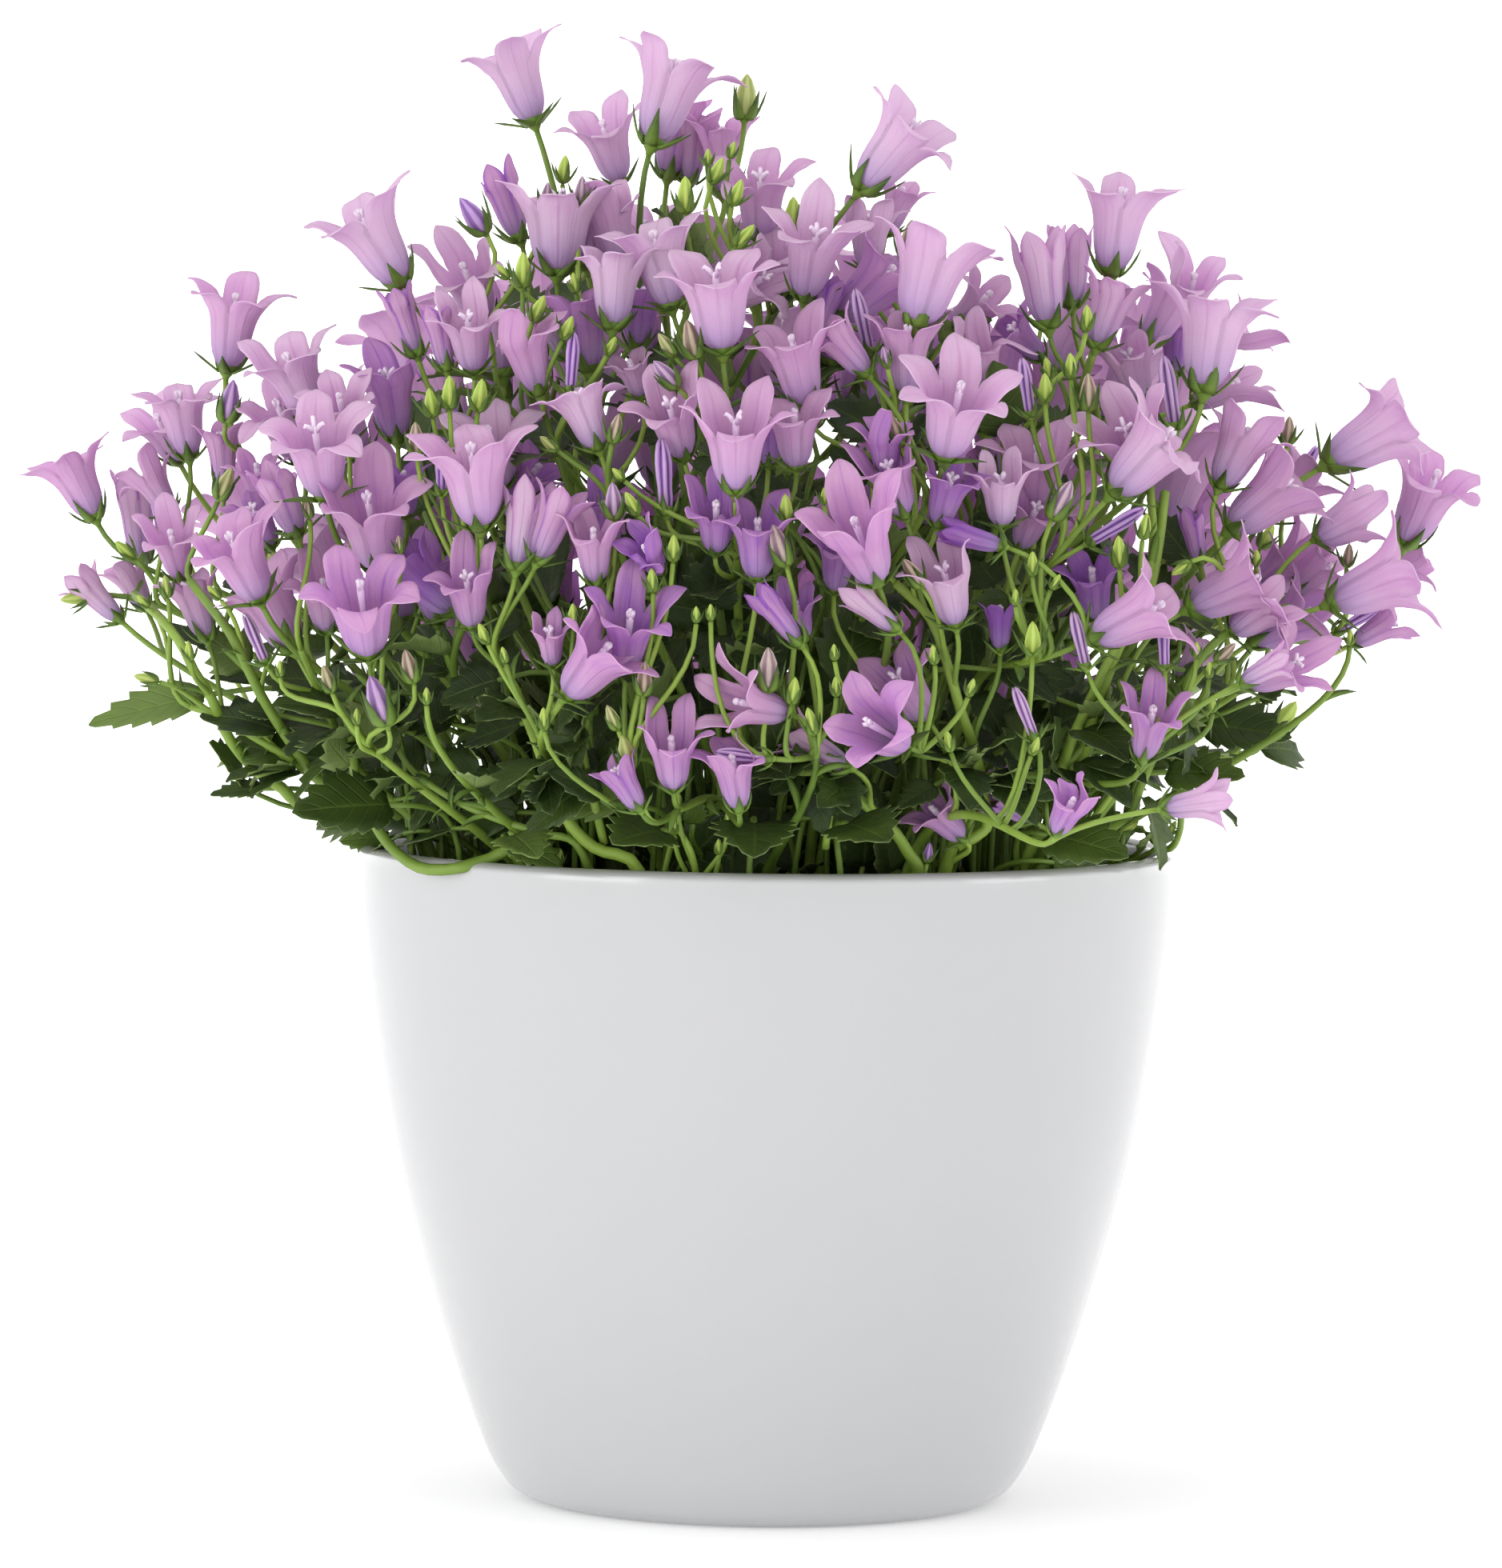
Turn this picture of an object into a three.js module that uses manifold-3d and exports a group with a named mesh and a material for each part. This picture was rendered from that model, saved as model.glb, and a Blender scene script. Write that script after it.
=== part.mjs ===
// Potted dalmatian bellflower: a low mound of upright lilac bells on branching green stems,
// rooted in a round, white-glazed pot that narrows to a flat foot.
// Millimetres, +Z up, with the origin at the centre of the pot's foot.

import * as THREE from 'three';
import { mergeVertices } from 'three/addons/utils/BufferGeometryUtils.js';
import Module from 'manifold-3d';

const wasm = await Module();
wasm.setup();

// Clearance kept between neighbouring pieces.
const GAP = 0.35;

// Pot: the outer wall's radius at a few heights, between the rounded foot and the rim.
const POT_HEIGHT = 110.7;
const POT_WALL = 4;
const POT_FLOOR = 6;
const POT_SIDES = 40;
const FLOOR_CHAMFER = 2;
const FOOT_RADIUS = 39.1;
const FOOT_ROUNDING = 5.8;
const FOOT_ARC = THREE.MathUtils.degToRad(67.7);
const FOOT_ARC_STEPS = 4;
const RIM_RADIUS = 70;
const RIM_ROUNDING = 1.5;
const WALL_STATIONS = [
  { z: 8, radius: 46.3 },
  { z: 16, radius: 49.5 },
  { z: 28, radius: 53.8 },
  { z: 44, radius: 58.6 },
  { z: 62, radius: 63.1 },
  { z: 82, radius: 66.8 },
  { z: 99, radius: 69.2 },
];

// Potting soil: its edge lies below the rim and its middle is slightly domed.
const SOIL_EDGE_HEIGHT = 99;
const SOIL_DOME = [
  { z: 101.5, reach: 0.85 },
  { z: 103.4, reach: 0.5 },
  { z: 104, reach: 0 },
];

// Stems and leaf stalks, rooted a little below the surface of the soil.
const ROOT_HEIGHT = 92;
const ROOT_SPREAD = 0.42;
const STEM_RADIUS = 1.0;
const STEM_STEPS = 12;
const STEM_RISE = 44;
const STEM_LEAN = 0.22;
const FIRST_FORK = 0.42;
const FORK_SPACING = 0.13;
const BRANCH_RADIUS = 0.7;
const BRANCH_STEPS = 7;
const BRANCH_RUN = 16;
const FLOWER_STALK_RUN = 24;
const STEM_SIDES = 6;
const STALK_RADIUS = 0.8;
const STALK_STEPS = 6;
const STALK_SIDES = 5;
const STALK_RISE = 0.95;
const STALK_REACH = 0.4;
const STALK_ARCH = 0.35;

// Bell flower at size 1: five pointed lobes on a narrow tube, closed by a cone at the ovary.
const LOBES = 5;
const COLUMNS_PER_LOBE = 4;
const BELL_MOUTH_HEIGHT = 10.2;
const BELL_MOUTH_RADIUS = 5.2;
const BELL_OUTLINE = [
  [0, 0],
  [4.2, 3.2],
  [BELL_MOUTH_RADIUS, BELL_MOUTH_HEIGHT],
  [7.6, 14.4],
  [10.4, 17.6],
  [7.1, 14.8],
  [4.6, 10.4],
  [0, 3.8],
];
// How far each column of a lobe reaches out: its tip, shoulder, notch and other shoulder.
const LOBE_REACH = [1, 0.66, 0.05, 0.66];

// Flower bud at size 1.
const BUD_SIDES = 8;
const BUD_OUTLINE = [[0, 0], [1.5, 0.8], [2.1, 3], [1.8, 6], [0.9, 8.2], [0, 9]];

// Leaf blade: its middle arches by LEAF_ARCH of its length, and its halves are folded up.
// It is widest near its base, and it starts a little before the end of its stalk.
const LEAF_THICKNESS = 0.6;
const LEAF_STEPS = 6;
const LEAF_ARCH = 0.12;
const LEAF_FOLD = 0.25;
const LEAF_BASE_PHASE = 0.12;
const LEAF_TIP_PHASE = 0.98;
const LEAF_SHOULDER = 0.8;
const LEAF_LEAST_HALF_WIDTH = 0.02;
const LEAF_OVERLAP = 0.04;

// Shoots: each carries the flowers (and buds) listed, the first on its main stem and the others
// on side branches. A flower has the place of its ovary, the way that it faces, its size
// and its turn about its own axis, in degrees, with 0 for a lobe at the front.
const SHOOTS = [
  {
    tips: [
      { at: [-91.6, -8, 189.2], facing: [0.12, -0.1, 0.99], size: 1.1, turn: 10 },
      { at: [-114, 4, 163.8], facing: [-0.45, 0.05, 0.89], size: 0.95, turn: 30 },
    ],
  },
  {
    tips: [
      { at: [-82.9, -50.9, 152.7], facing: [-0.37, -0.4, 0.84], size: 1.1, turn: 20 },
      { at: [-64.5, -66.6, 144.6], facing: [-0.09, -0.5, 0.86], size: 1.2, turn: 0 },
    ],
  },
  {
    tips: [
      { at: [-72.5, -52.1, 169.7], facing: [-0.11, -0.5, 0.86], size: 1.2, turn: 36 },
      { at: [-46.6, -68.8, 165.4], facing: [-0.11, -0.3, 0.95], size: 1.2, turn: 24 },
    ],
  },
  {
    tips: [
      { at: [-40.5, 6, 231.4], facing: [-0.35, 0.05, 0.94], size: 1.1, turn: 12 },
      { at: [-60.9, -31.1, 204.1], facing: [-0.51, -0.1, 0.85], size: 1.2, turn: 30 },
    ],
  },
  {
    tips: [
      { at: [-20.7, -17.1, 227.7], facing: [0.29, 0.1, 0.95], size: 1.25, turn: 0 },
      { at: [13.7, -35.5, 220.7], facing: [0.63, -0.1, 0.77], size: 1.25, turn: 20 },
      { at: [-5.2, -2, 232.6], facing: [0.05, 0, 1], size: 0.9, bud: true },
    ],
  },
  {
    tips: [
      { at: [-8, -63.1, 194], facing: [-0.1, -0.2, 0.97], size: 1.2, turn: 0 },
      { at: [-5.6, -77, 172], facing: [-0.01, -0.3, 0.95], size: 1.1, turn: 0 },
    ],
  },
  {
    tips: [
      { at: [23, -57.7, 198.4], facing: [0.26, 0.1, 0.96], size: 1.2, turn: 30 },
      { at: [27.7, -71.3, 177.8], facing: [0.17, -0.5, 0.85], size: 1.2, turn: 36 },
    ],
  },
  {
    tips: [
      { at: [55.5, -32, 207.2], facing: [0.13, -0.05, 0.99], size: 1.2, turn: 0 },
      { at: [70.7, -40.3, 188], facing: [0.14, 0.1, 0.98], size: 1.3, turn: 20 },
    ],
  },
  {
    tips: [
      { at: [54.7, -62.3, 172.1], facing: [0.67, -0.1, 0.73], size: 1.2, turn: 25 },
      { at: [51.2, -71.2, 149.1], facing: [0.88, -0.1, 0.46], size: 1.1, turn: 0 },
    ],
  },
  {
    tips: [
      { at: [91.4, -26, 176.4], facing: [0.85, 0.15, 0.5], size: 1.25, turn: 15 },
      { at: [107.5, 6, 162], facing: [0.35, -0.3, 0.89], size: 1.2, turn: 0 },
      { at: [91.4, -40.1, 154], facing: [0.91, -0.05, 0.4], size: 1.2, turn: 30 },
    ],
  },
  {
    tips: [
      { at: [17.3, -79.6, 158.2], facing: [-0.29, -0.6, 0.75], size: 1.15, turn: 36 },
      { at: [22, -84.6, 132.8], facing: [-0.5, -0.8, 0.33], size: 1.05, turn: 18 },
    ],
  },
  {
    tips: [
      { at: [-32.6, -79.8, 139.2], facing: [0.58, -0.35, 0.73], size: 1.0, turn: 0 },
      { at: [-22, -80, 128], facing: [-0.2, -0.4, 0.9], size: 0.7, bud: true },
    ],
  },
  {
    tips: [
      { at: [-62, 62, 184], facing: [-0.3, 0.4, 0.87], size: 1.2, turn: 20 },
      { at: [-88, 52, 156], facing: [-0.6, 0.35, 0.72], size: 1.15, turn: 0 },
    ],
  },
  {
    tips: [
      { at: [2, 58, 202], facing: [0.05, 0.3, 0.95], size: 1.2, turn: 0 },
      { at: [-16, 84, 164], facing: [-0.1, 0.6, 0.8], size: 1.2, turn: 24 },
    ],
  },
  {
    tips: [
      { at: [62, 54, 188], facing: [0.35, 0.3, 0.89], size: 1.2, turn: 12 },
      { at: [74, 66, 152], facing: [0.5, 0.5, 0.7], size: 1.15, turn: 0 },
    ],
  },
];

// Leaves: where the stalk is rooted, and where the blade starts and ends.
const LEAVES = [
  { root: [-52, -12], base: [-94, -22, 136], tip: [-113, -21, 129.5], width: 8 },
  { root: [-50, -34], base: [-62, -43, 119.5], tip: [-77, -51, 117.5], width: 13 },
  { root: [-38, -48], base: [-41, -61, 116], tip: [-37, -77, 112.8], width: 9 },
  { root: [-18, -58], base: [-17, -68, 117.5], tip: [-24, -82, 115.5], width: 11 },
  { root: [-3, -60], base: [-2, -69, 119], tip: [-2, -85, 114], width: 13 },
  { root: [13, -59], base: [13, -68, 119], tip: [19, -83, 116.5], width: 12 },
  { root: [42, -42], base: [46, -52, 116.5], tip: [58, -62, 112.8], width: 11 },
  { root: [58, -8], base: [74, -14, 133], tip: [92, -20, 128], width: 16 },
  { root: [54, -26], base: [66, -36, 126], tip: [80, -44, 121], width: 12 },
  { root: [-58, 14], base: [-76, 16, 128], tip: [-94, 19, 121], width: 14 },
  { root: [14, 58], base: [16, 70, 121], tip: [20, 88, 114], width: 14 },
];

// Colours and finishes as they look in daylight.
const finishes = {
  pot: () => new THREE.MeshStandardMaterial({ color: 0xdfe1e3, roughness: 0.15, metalness: 0 }),
  soil: () => new THREE.MeshStandardMaterial({ color: 0x2e241c, roughness: 0.95, metalness: 0 }),
  stem: () => new THREE.MeshStandardMaterial({ color: 0x6f9a3c, roughness: 0.5, metalness: 0 }),
  leaf: () => new THREE.MeshStandardMaterial({ color: 0x35562e, roughness: 0.5, metalness: 0 }),
  petal: () => new THREE.MeshStandardMaterial({ color: 0xc08fcb, roughness: 0.6, metalness: 0 }),
  bud: () => new THREE.MeshStandardMaterial({ color: 0x88a653, roughness: 0.55, metalness: 0 }),
};

// A closed mesh as a solid: only the positions are kept, and shared corners are merged.
function solidOf(geometry) {
  geometry.deleteAttribute('normal');
  geometry.deleteAttribute('uv');
  const merged = mergeVertices(geometry, 1e-4);
  return new wasm.Manifold(new wasm.Mesh({
    numProp: 3,
    vertProperties: merged.getAttribute('position').array,
    triVerts: new Uint32Array(merged.index.array),
  }));
}

// A solid as a geometry that can be drawn.
function geometryOf(solid) {
  const { vertProperties, triVerts } = solid.getMesh();
  const geometry = new THREE.BufferGeometry();
  geometry.setAttribute('position', new THREE.BufferAttribute(vertProperties, 3));
  geometry.setIndex(new THREE.BufferAttribute(triVerts, 1));
  geometry.computeVertexNormals();
  return geometry;
}

// Moves every vertex of a geometry to the place that the rule gives for it.
function reshape(geometry, rule) {
  const positions = geometry.getAttribute('position');
  const point = new THREE.Vector3();
  for (let i = 0; i < positions.count; i += 1) {
    rule(point.fromBufferAttribute(positions, i));
    positions.setXYZ(i, point.x, point.y, point.z);
  }
  return geometry;
}

// An outline of [radius, height] pairs turned about the Z axis.
function turned(outline, sides) {
  const points = outline.map(([radius, height]) => new THREE.Vector2(radius, height));
  return new THREE.LatheGeometry(points, sides).rotateX(Math.PI / 2);
}

// A round tube of constant radius along a curve.
function tube(curve, radius, steps, sides) {
  const ring = [];
  for (let i = 0; i < sides; i += 1) {
    const angle = (2 * Math.PI * i) / sides;
    ring.push(new THREE.Vector2(radius * Math.cos(angle), radius * Math.sin(angle)));
  }
  const section = new THREE.Shape(ring);
  return solidOf(new THREE.ExtrudeGeometry(section, { steps, extrudePath: curve }));
}

// The pot: outer wall from the foot up, round the rim, and down inside to the floor.
function potGeometry() {
  const outline = [[0, 0]];
  for (let i = 0; i <= FOOT_ARC_STEPS; i += 1) {
    const angle = FOOT_ARC * (i / FOOT_ARC_STEPS);
    outline.push([
      FOOT_RADIUS + FOOT_ROUNDING * Math.sin(angle),
      FOOT_ROUNDING * (1 - Math.cos(angle)),
    ]);
  }
  WALL_STATIONS.forEach(({ z, radius }) => outline.push([radius, z]));
  outline.push([RIM_RADIUS, POT_HEIGHT - RIM_ROUNDING]);
  outline.push([RIM_RADIUS - RIM_ROUNDING, POT_HEIGHT]);
  outline.push([RIM_RADIUS - POT_WALL + RIM_ROUNDING, POT_HEIGHT]);
  outline.push([RIM_RADIUS - POT_WALL, POT_HEIGHT - RIM_ROUNDING]);
  [...WALL_STATIONS].reverse().forEach(({ z, radius }) => outline.push([radius - POT_WALL, z]));
  outline.push([WALL_STATIONS[0].radius - POT_WALL - FLOOR_CHAMFER, POT_FLOOR]);
  outline.push([0, POT_FLOOR]);
  return turned(outline, POT_SIDES);
}

// The soil fills the pot to its edge height, with a hole for each root.
function soilGeometry(roots) {
  const side = POT_WALL + GAP;
  const outline = [[0, POT_FLOOR + GAP]];
  outline.push([WALL_STATIONS[0].radius - side - FLOOR_CHAMFER, POT_FLOOR + GAP]);
  WALL_STATIONS.forEach(({ z, radius }) => outline.push([radius - side, z]));
  const edgeRadius = WALL_STATIONS.at(-1).radius - side;
  SOIL_DOME.forEach(({ z, reach }) => outline.push([edgeRadius * reach, z]));
  const filling = solidOf(turned(outline, POT_SIDES));
  return geometryOf(filling.subtract(wasm.Manifold.union(roots)));
}


// The way that the flower or bud on a tip faces.
function axisOf(tip) {
  return new THREE.Vector3(...tip.facing).normalize();
}

// A stem runs up from its root, bends outwards and ends in line with its flower.
function stemCurve(root, tip) {
  const axis = axisOf(tip);
  const end = new THREE.Vector3(...tip.at).addScaledVector(axis, -GAP);
  const rise = new THREE.Vector3(root.x * STEM_LEAN, root.y * STEM_LEAN, STEM_RISE).add(root);
  const bend = end.clone().addScaledVector(axis, -FLOWER_STALK_RUN);
  return new THREE.CubicBezierCurve3(root, rise, bend, end);
}

// A branch leaves the stem at a fraction of its length and turns towards its own flower.
function branchCurve(stem, fraction, tip) {
  const axis = axisOf(tip);
  const start = stem.getPoint(fraction);
  const end = new THREE.Vector3(...tip.at).addScaledVector(axis, -GAP);
  const leave = stem.getTangent(fraction).multiplyScalar(BRANCH_RUN).add(start);
  const bend = end.clone().addScaledVector(axis, -BRANCH_RUN);
  return new THREE.CubicBezierCurve3(start, leave, bend, end);
}

// A bell flower with its ovary at the origin, opening along +Z, with one lobe towards -Y.
function bellGeometry(size) {
  const columns = LOBES * COLUMNS_PER_LOBE;
  const bell = reshape(turned(BELL_OUTLINE, columns), (point) => {
    const radius = Math.hypot(point.x, point.y);
    if (radius <= BELL_MOUTH_RADIUS || point.z <= BELL_MOUTH_HEIGHT) return;
    const turn = Math.atan2(point.x, -point.y) / (2 * Math.PI);
    const column = (Math.round(turn * columns) + columns) % COLUMNS_PER_LOBE;
    const reach = LOBE_REACH[column];
    const shrunk = BELL_MOUTH_RADIUS + (radius - BELL_MOUTH_RADIUS) * reach;
    point.x *= shrunk / radius;
    point.y *= shrunk / radius;
    point.z = BELL_MOUTH_HEIGHT + (point.z - BELL_MOUTH_HEIGHT) * reach;
  });
  return geometryOf(solidOf(bell.scale(size, size, size)));
}

function budGeometry(size) {
  return geometryOf(solidOf(turned(BUD_OUTLINE, BUD_SIDES).scale(size, size, size)));
}

// Stands a mesh on the tip of its stalk, facing along the tip's axis.
function placeOnTip(mesh, tip) {
  const axis = axisOf(tip);
  const back = new THREE.Vector3(0, 1, 0);
  back.addScaledVector(axis, -back.dot(axis)).normalize();
  const side = new THREE.Vector3().crossVectors(back, axis);
  const frame = new THREE.Matrix4().makeBasis(side, back, axis);
  mesh.position.set(...tip.at);
  mesh.quaternion.setFromRotationMatrix(frame);
  mesh.rotateZ(THREE.MathUtils.degToRad(tip.turn ?? 0));
}

// Half the width of a leaf at a fraction of its length, for a leaf 1 wide.
function leafHalfWidth(along) {
  const phase = THREE.MathUtils.lerp(LEAF_BASE_PHASE, LEAF_TIP_PHASE, along);
  return 0.5 * Math.sin(Math.PI * phase ** LEAF_SHOULDER) + LEAF_LEAST_HALF_WIDTH;
}

// A leaf: a stalk out of the soil and a thin, pointed blade, folded a little along its middle.
function leafSolid(leaf, stalk) {
  const base = new THREE.Vector3(...leaf.base);
  const run = new THREE.Vector3(...leaf.tip).sub(base);
  const length = run.length();
  const forward = run.clone().normalize();
  const across = new THREE.Vector3().crossVectors(forward, new THREE.Vector3(0, 0, 1)).normalize();
  const upward = new THREE.Vector3().crossVectors(across, forward);
  const box = new THREE.BoxGeometry(2, 1, LEAF_THICKNESS, 2, LEAF_STEPS, 1);
  const blade = reshape(box, (point) => {
    const along = point.y + 0.5;
    const sideways = point.x * leafHalfWidth(along) * leaf.width;
    const lift = point.z + LEAF_FOLD * Math.abs(sideways)
      + LEAF_ARCH * length * Math.sin(Math.PI * along);
    point.copy(base)
      .addScaledVector(forward, (along - LEAF_OVERLAP) * length)
      .addScaledVector(across, sideways)
      .addScaledVector(upward, lift);
  });
  return solidOf(blade).add(stalk);
}

function stalkCurve(leaf) {
  const root = new THREE.Vector3(...leaf.root, ROOT_HEIGHT);
  const base = new THREE.Vector3(...leaf.base);
  const run = new THREE.Vector3(...leaf.tip).sub(base).normalize();
  const reach = base.distanceTo(root) * STALK_REACH;
  const rise = new THREE.Vector3(0, 0, (base.z - root.z) * STALK_RISE).add(root);
  const bend = base.clone().addScaledVector(run, -reach);
  bend.z += reach * STALK_ARCH;
  return new THREE.CubicBezierCurve3(root, rise, bend, base);
}

function named(name, geometry, material) {
  const mesh = new THREE.Mesh(geometry, material);
  mesh.name = name;
  return mesh;
}

// The ground below the roots' ends, which keeps them off the bottom of their holes.
const groundSize = 4 * RIM_RADIUS;
const underRoots = solidOf(
  new THREE.BoxGeometry(groundSize, groundSize, groundSize)
    .translate(0, 0, ROOT_HEIGHT + GAP - groundSize / 2),
);

const plant = new THREE.Group();
const roots = [];

// A stem leads to the first tip of its shoot, and branches lead to the others.
SHOOTS.forEach(({ tips: [first, ...others] }, index) => {
  const [x, y] = first.at;
  const main = stemCurve(new THREE.Vector3(x * ROOT_SPREAD, y * ROOT_SPREAD, ROOT_HEIGHT), first);
  let stem = tube(main, STEM_RADIUS, STEM_STEPS, STEM_SIDES);
  others.forEach((tip, order) => {
    const branch = branchCurve(main, FIRST_FORK + FORK_SPACING * order, tip);
    stem = stem.add(tube(branch, BRANCH_RADIUS, BRANCH_STEPS, STEM_SIDES));
  });
  stem = stem.subtract(underRoots);
  roots.push(tube(main, STEM_RADIUS + GAP, STEM_STEPS, STEM_SIDES));
  plant.add(named(`stem_${index + 1}`, geometryOf(stem), finishes.stem()));
});

const tips = SHOOTS.flatMap((shoot) => shoot.tips);
tips.filter((tip) => !tip.bud).forEach((tip, index) => {
  const flower = named(`flower_${index + 1}`, bellGeometry(tip.size), finishes.petal());
  placeOnTip(flower, tip);
  plant.add(flower);
});
tips.filter((tip) => tip.bud).forEach((tip, index) => {
  const bud = named(`bud_${index + 1}`, budGeometry(tip.size), finishes.bud());
  placeOnTip(bud, tip);
  plant.add(bud);
});

// A leaf's stalk stands in a hole of its own.
LEAVES.forEach((leaf, index) => {
  const curve = stalkCurve(leaf);
  const stalk = tube(curve, STALK_RADIUS, STALK_STEPS, STALK_SIDES).subtract(underRoots);
  roots.push(tube(curve, STALK_RADIUS + GAP, STALK_STEPS, STALK_SIDES));
  plant.add(named(`leaf_${index + 1}`, geometryOf(leafSolid(leaf, stalk)), finishes.leaf()));
});

plant.add(named('pot', potGeometry(), finishes.pot()));
plant.add(named('potting_soil', soilGeometry(roots), finishes.soil()));

export default plant;
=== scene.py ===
# %% [markdown]
# # A potted dalmatian bellflower
# A low mound of lilac bells over toothed green leaves, in a round white glazed pot.
# The CAD model holds the pot, the soil, the main stems, eleven leaves, thirty flowers and two
# buds at their real size. This lesson dresses each of them and grows the rest of the plant
# around them. Lengths are worked out in millimetres and become metres when a mesh is made.

import bpy
import numpy as np
from mathutils import Matrix
from numpy.linalg import norm


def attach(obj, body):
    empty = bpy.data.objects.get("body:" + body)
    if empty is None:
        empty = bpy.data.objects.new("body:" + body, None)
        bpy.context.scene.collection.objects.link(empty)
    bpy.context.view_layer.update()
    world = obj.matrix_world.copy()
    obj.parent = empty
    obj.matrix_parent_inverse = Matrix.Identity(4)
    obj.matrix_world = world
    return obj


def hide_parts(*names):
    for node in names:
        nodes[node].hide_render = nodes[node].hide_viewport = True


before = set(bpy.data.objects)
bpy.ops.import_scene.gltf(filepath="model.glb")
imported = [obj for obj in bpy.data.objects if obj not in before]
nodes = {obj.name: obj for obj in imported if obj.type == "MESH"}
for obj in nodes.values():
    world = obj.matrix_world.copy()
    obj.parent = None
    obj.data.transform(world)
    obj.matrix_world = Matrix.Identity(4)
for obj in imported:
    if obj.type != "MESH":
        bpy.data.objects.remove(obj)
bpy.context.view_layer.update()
MM = 0.001
chance = np.random.default_rng(26)

# %% [markdown]
# ## The camera
# The pot is a known round shape, so its rim, foot and sides in the photograph give the camera:
# how far away and how high it stands, where it points, and its focal length in pixels.
# The same numbers turn a pixel back into a point, once a depth is chosen for it.

# %% The camera
PHOTO_SIZE = np.array([1877.0, 1960.0])
FOCAL_PIXELS = 10879.0
EYE = np.array([0.0, -1469.8, 213.1])
YAW, PITCH, ROLL = np.radians([-0.107, -3.587, 0.681])
SENSOR_WIDTH = 36.0


def show(name, data):
    """A new object of a camera, lamp or mesh, in the scene."""
    item = bpy.data.objects.new(name, data)
    bpy.context.scene.collection.objects.link(item)
    return item


ahead = np.array([np.sin(YAW) * np.cos(PITCH), np.cos(YAW) * np.cos(PITCH), np.sin(PITCH)])
level = np.array([np.cos(YAW), -np.sin(YAW), 0.0])
upright = np.cross(level, ahead)
picture_right = np.cos(ROLL) * level + np.sin(ROLL) * upright
picture_up = np.cos(ROLL) * upright - np.sin(ROLL) * level


def stand(place, right, up, back):
    """The matrix of a camera or lamp: it stands at a place, in metres, and its own three axes
    are right, up and back, against which it looks."""
    turn = Matrix(np.column_stack([right, up, back]).tolist()).to_4x4()
    return Matrix.Translation(place) @ turn


camera = show("camera", bpy.data.cameras.new("camera"))
camera.data.sensor_width = SENSOR_WIDTH
camera.data.lens = SENSOR_WIDTH * FOCAL_PIXELS / PHOTO_SIZE.max()
camera.matrix_world = stand(EYE * MM, picture_right, picture_up, -ahead)
bpy.context.scene.camera = camera


def point_at(pixel, y):
    """The point at depth y that a pixel shows: eye + ray * (y - eye's y) / ray's y."""
    offset = (np.asarray(pixel, float) - PHOTO_SIZE / 2) / FOCAL_PIXELS
    ray = offset[..., :1] * picture_right - offset[..., 1:] * picture_up + ahead
    reach = (np.asarray(y, float)[..., None] - EYE[1]) / ray[..., 1:2]
    return EYE + ray * reach


def pixel_of(point):
    """The pixel that shows a point: its right and up parts over its distance ahead."""
    sight = np.asarray(point, float) - EYE
    across = FOCAL_PIXELS * (sight @ picture_right) / (sight @ ahead)
    above = FOCAL_PIXELS * (sight @ picture_up) / (sight @ ahead)
    return np.stack([PHOTO_SIZE[0] / 2 + across, PHOTO_SIZE[1] / 2 - above], -1)


# %% [markdown]
# ## Small tools
# Every shape here is a grid of points worked out with numpy. A plant repeats itself, so one
# list of faces serves many copies: the points have the shape (copies, points, 3).

# %% Vector helpers
def unit(v):
    """A vector over its own length."""
    return v / np.maximum(norm(v, axis=-1, keepdims=True), 1e-9)


def dot(a, b):
    """The sum of the products of two vectors' parts, with the last axis kept."""
    return (a * b).sum(-1, keepdims=True)


def mix(a, b, share):
    """a at share 0, b at share 1, and a straight blend between them."""
    return a + (b - a) * share


def square_to(v, axis):
    """The part of v at right angles to a unit axis: v - axis * (v . axis), made unit."""
    return unit(v - axis * dot(v, axis))


def spline(points, count):
    """A smooth curve through points: each stretch is a cubic whose slopes are the neighbours'
    differences halved."""
    p = np.asarray(points, float)
    slopes = np.gradient(p, axis=0)
    place = np.linspace(0, len(p) - 1, count)
    i = np.minimum(place.astype(int), len(p) - 2)
    t = (place - i)[:, None]
    ends = mix(p[i], p[i + 1], t * t * (3 - 2 * t))
    lean = t * (1 - t) * ((1 - t) * slopes[i] - t * slopes[i + 1])
    return ends + lean


def bezier(a, b, c, d, t):
    """The cubic curve from a to d that leaves towards b and arrives from c."""
    s = 1 - t
    return s**3 * a + 3 * s * s * t * b + 3 * s * t * t * c + t**3 * d


def grid_faces(rows, columns, closed=False):
    """The quads of a grid of points that is rows by columns, joined round if closed."""
    r, c = np.meshgrid(np.arange(rows - 1), np.arange(columns - (not closed)), indexing="ij")
    after = (c + 1) % columns
    corners = (r * columns + c, r * columns + after, (r + 1) * columns + after, (r + 1) * columns + c)
    return np.stack(corners, -1).reshape(-1, 4)


def tube_faces(rows, sides):
    """A closed tube: a grid joined round, with a flat face over each end."""
    first = np.arange(sides)[::-1]
    last = np.arange(sides) + (rows - 1) * sides
    return [grid_faces(rows, sides, closed=True), first[None], last[None]]


THICKNESS = 0.18


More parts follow.
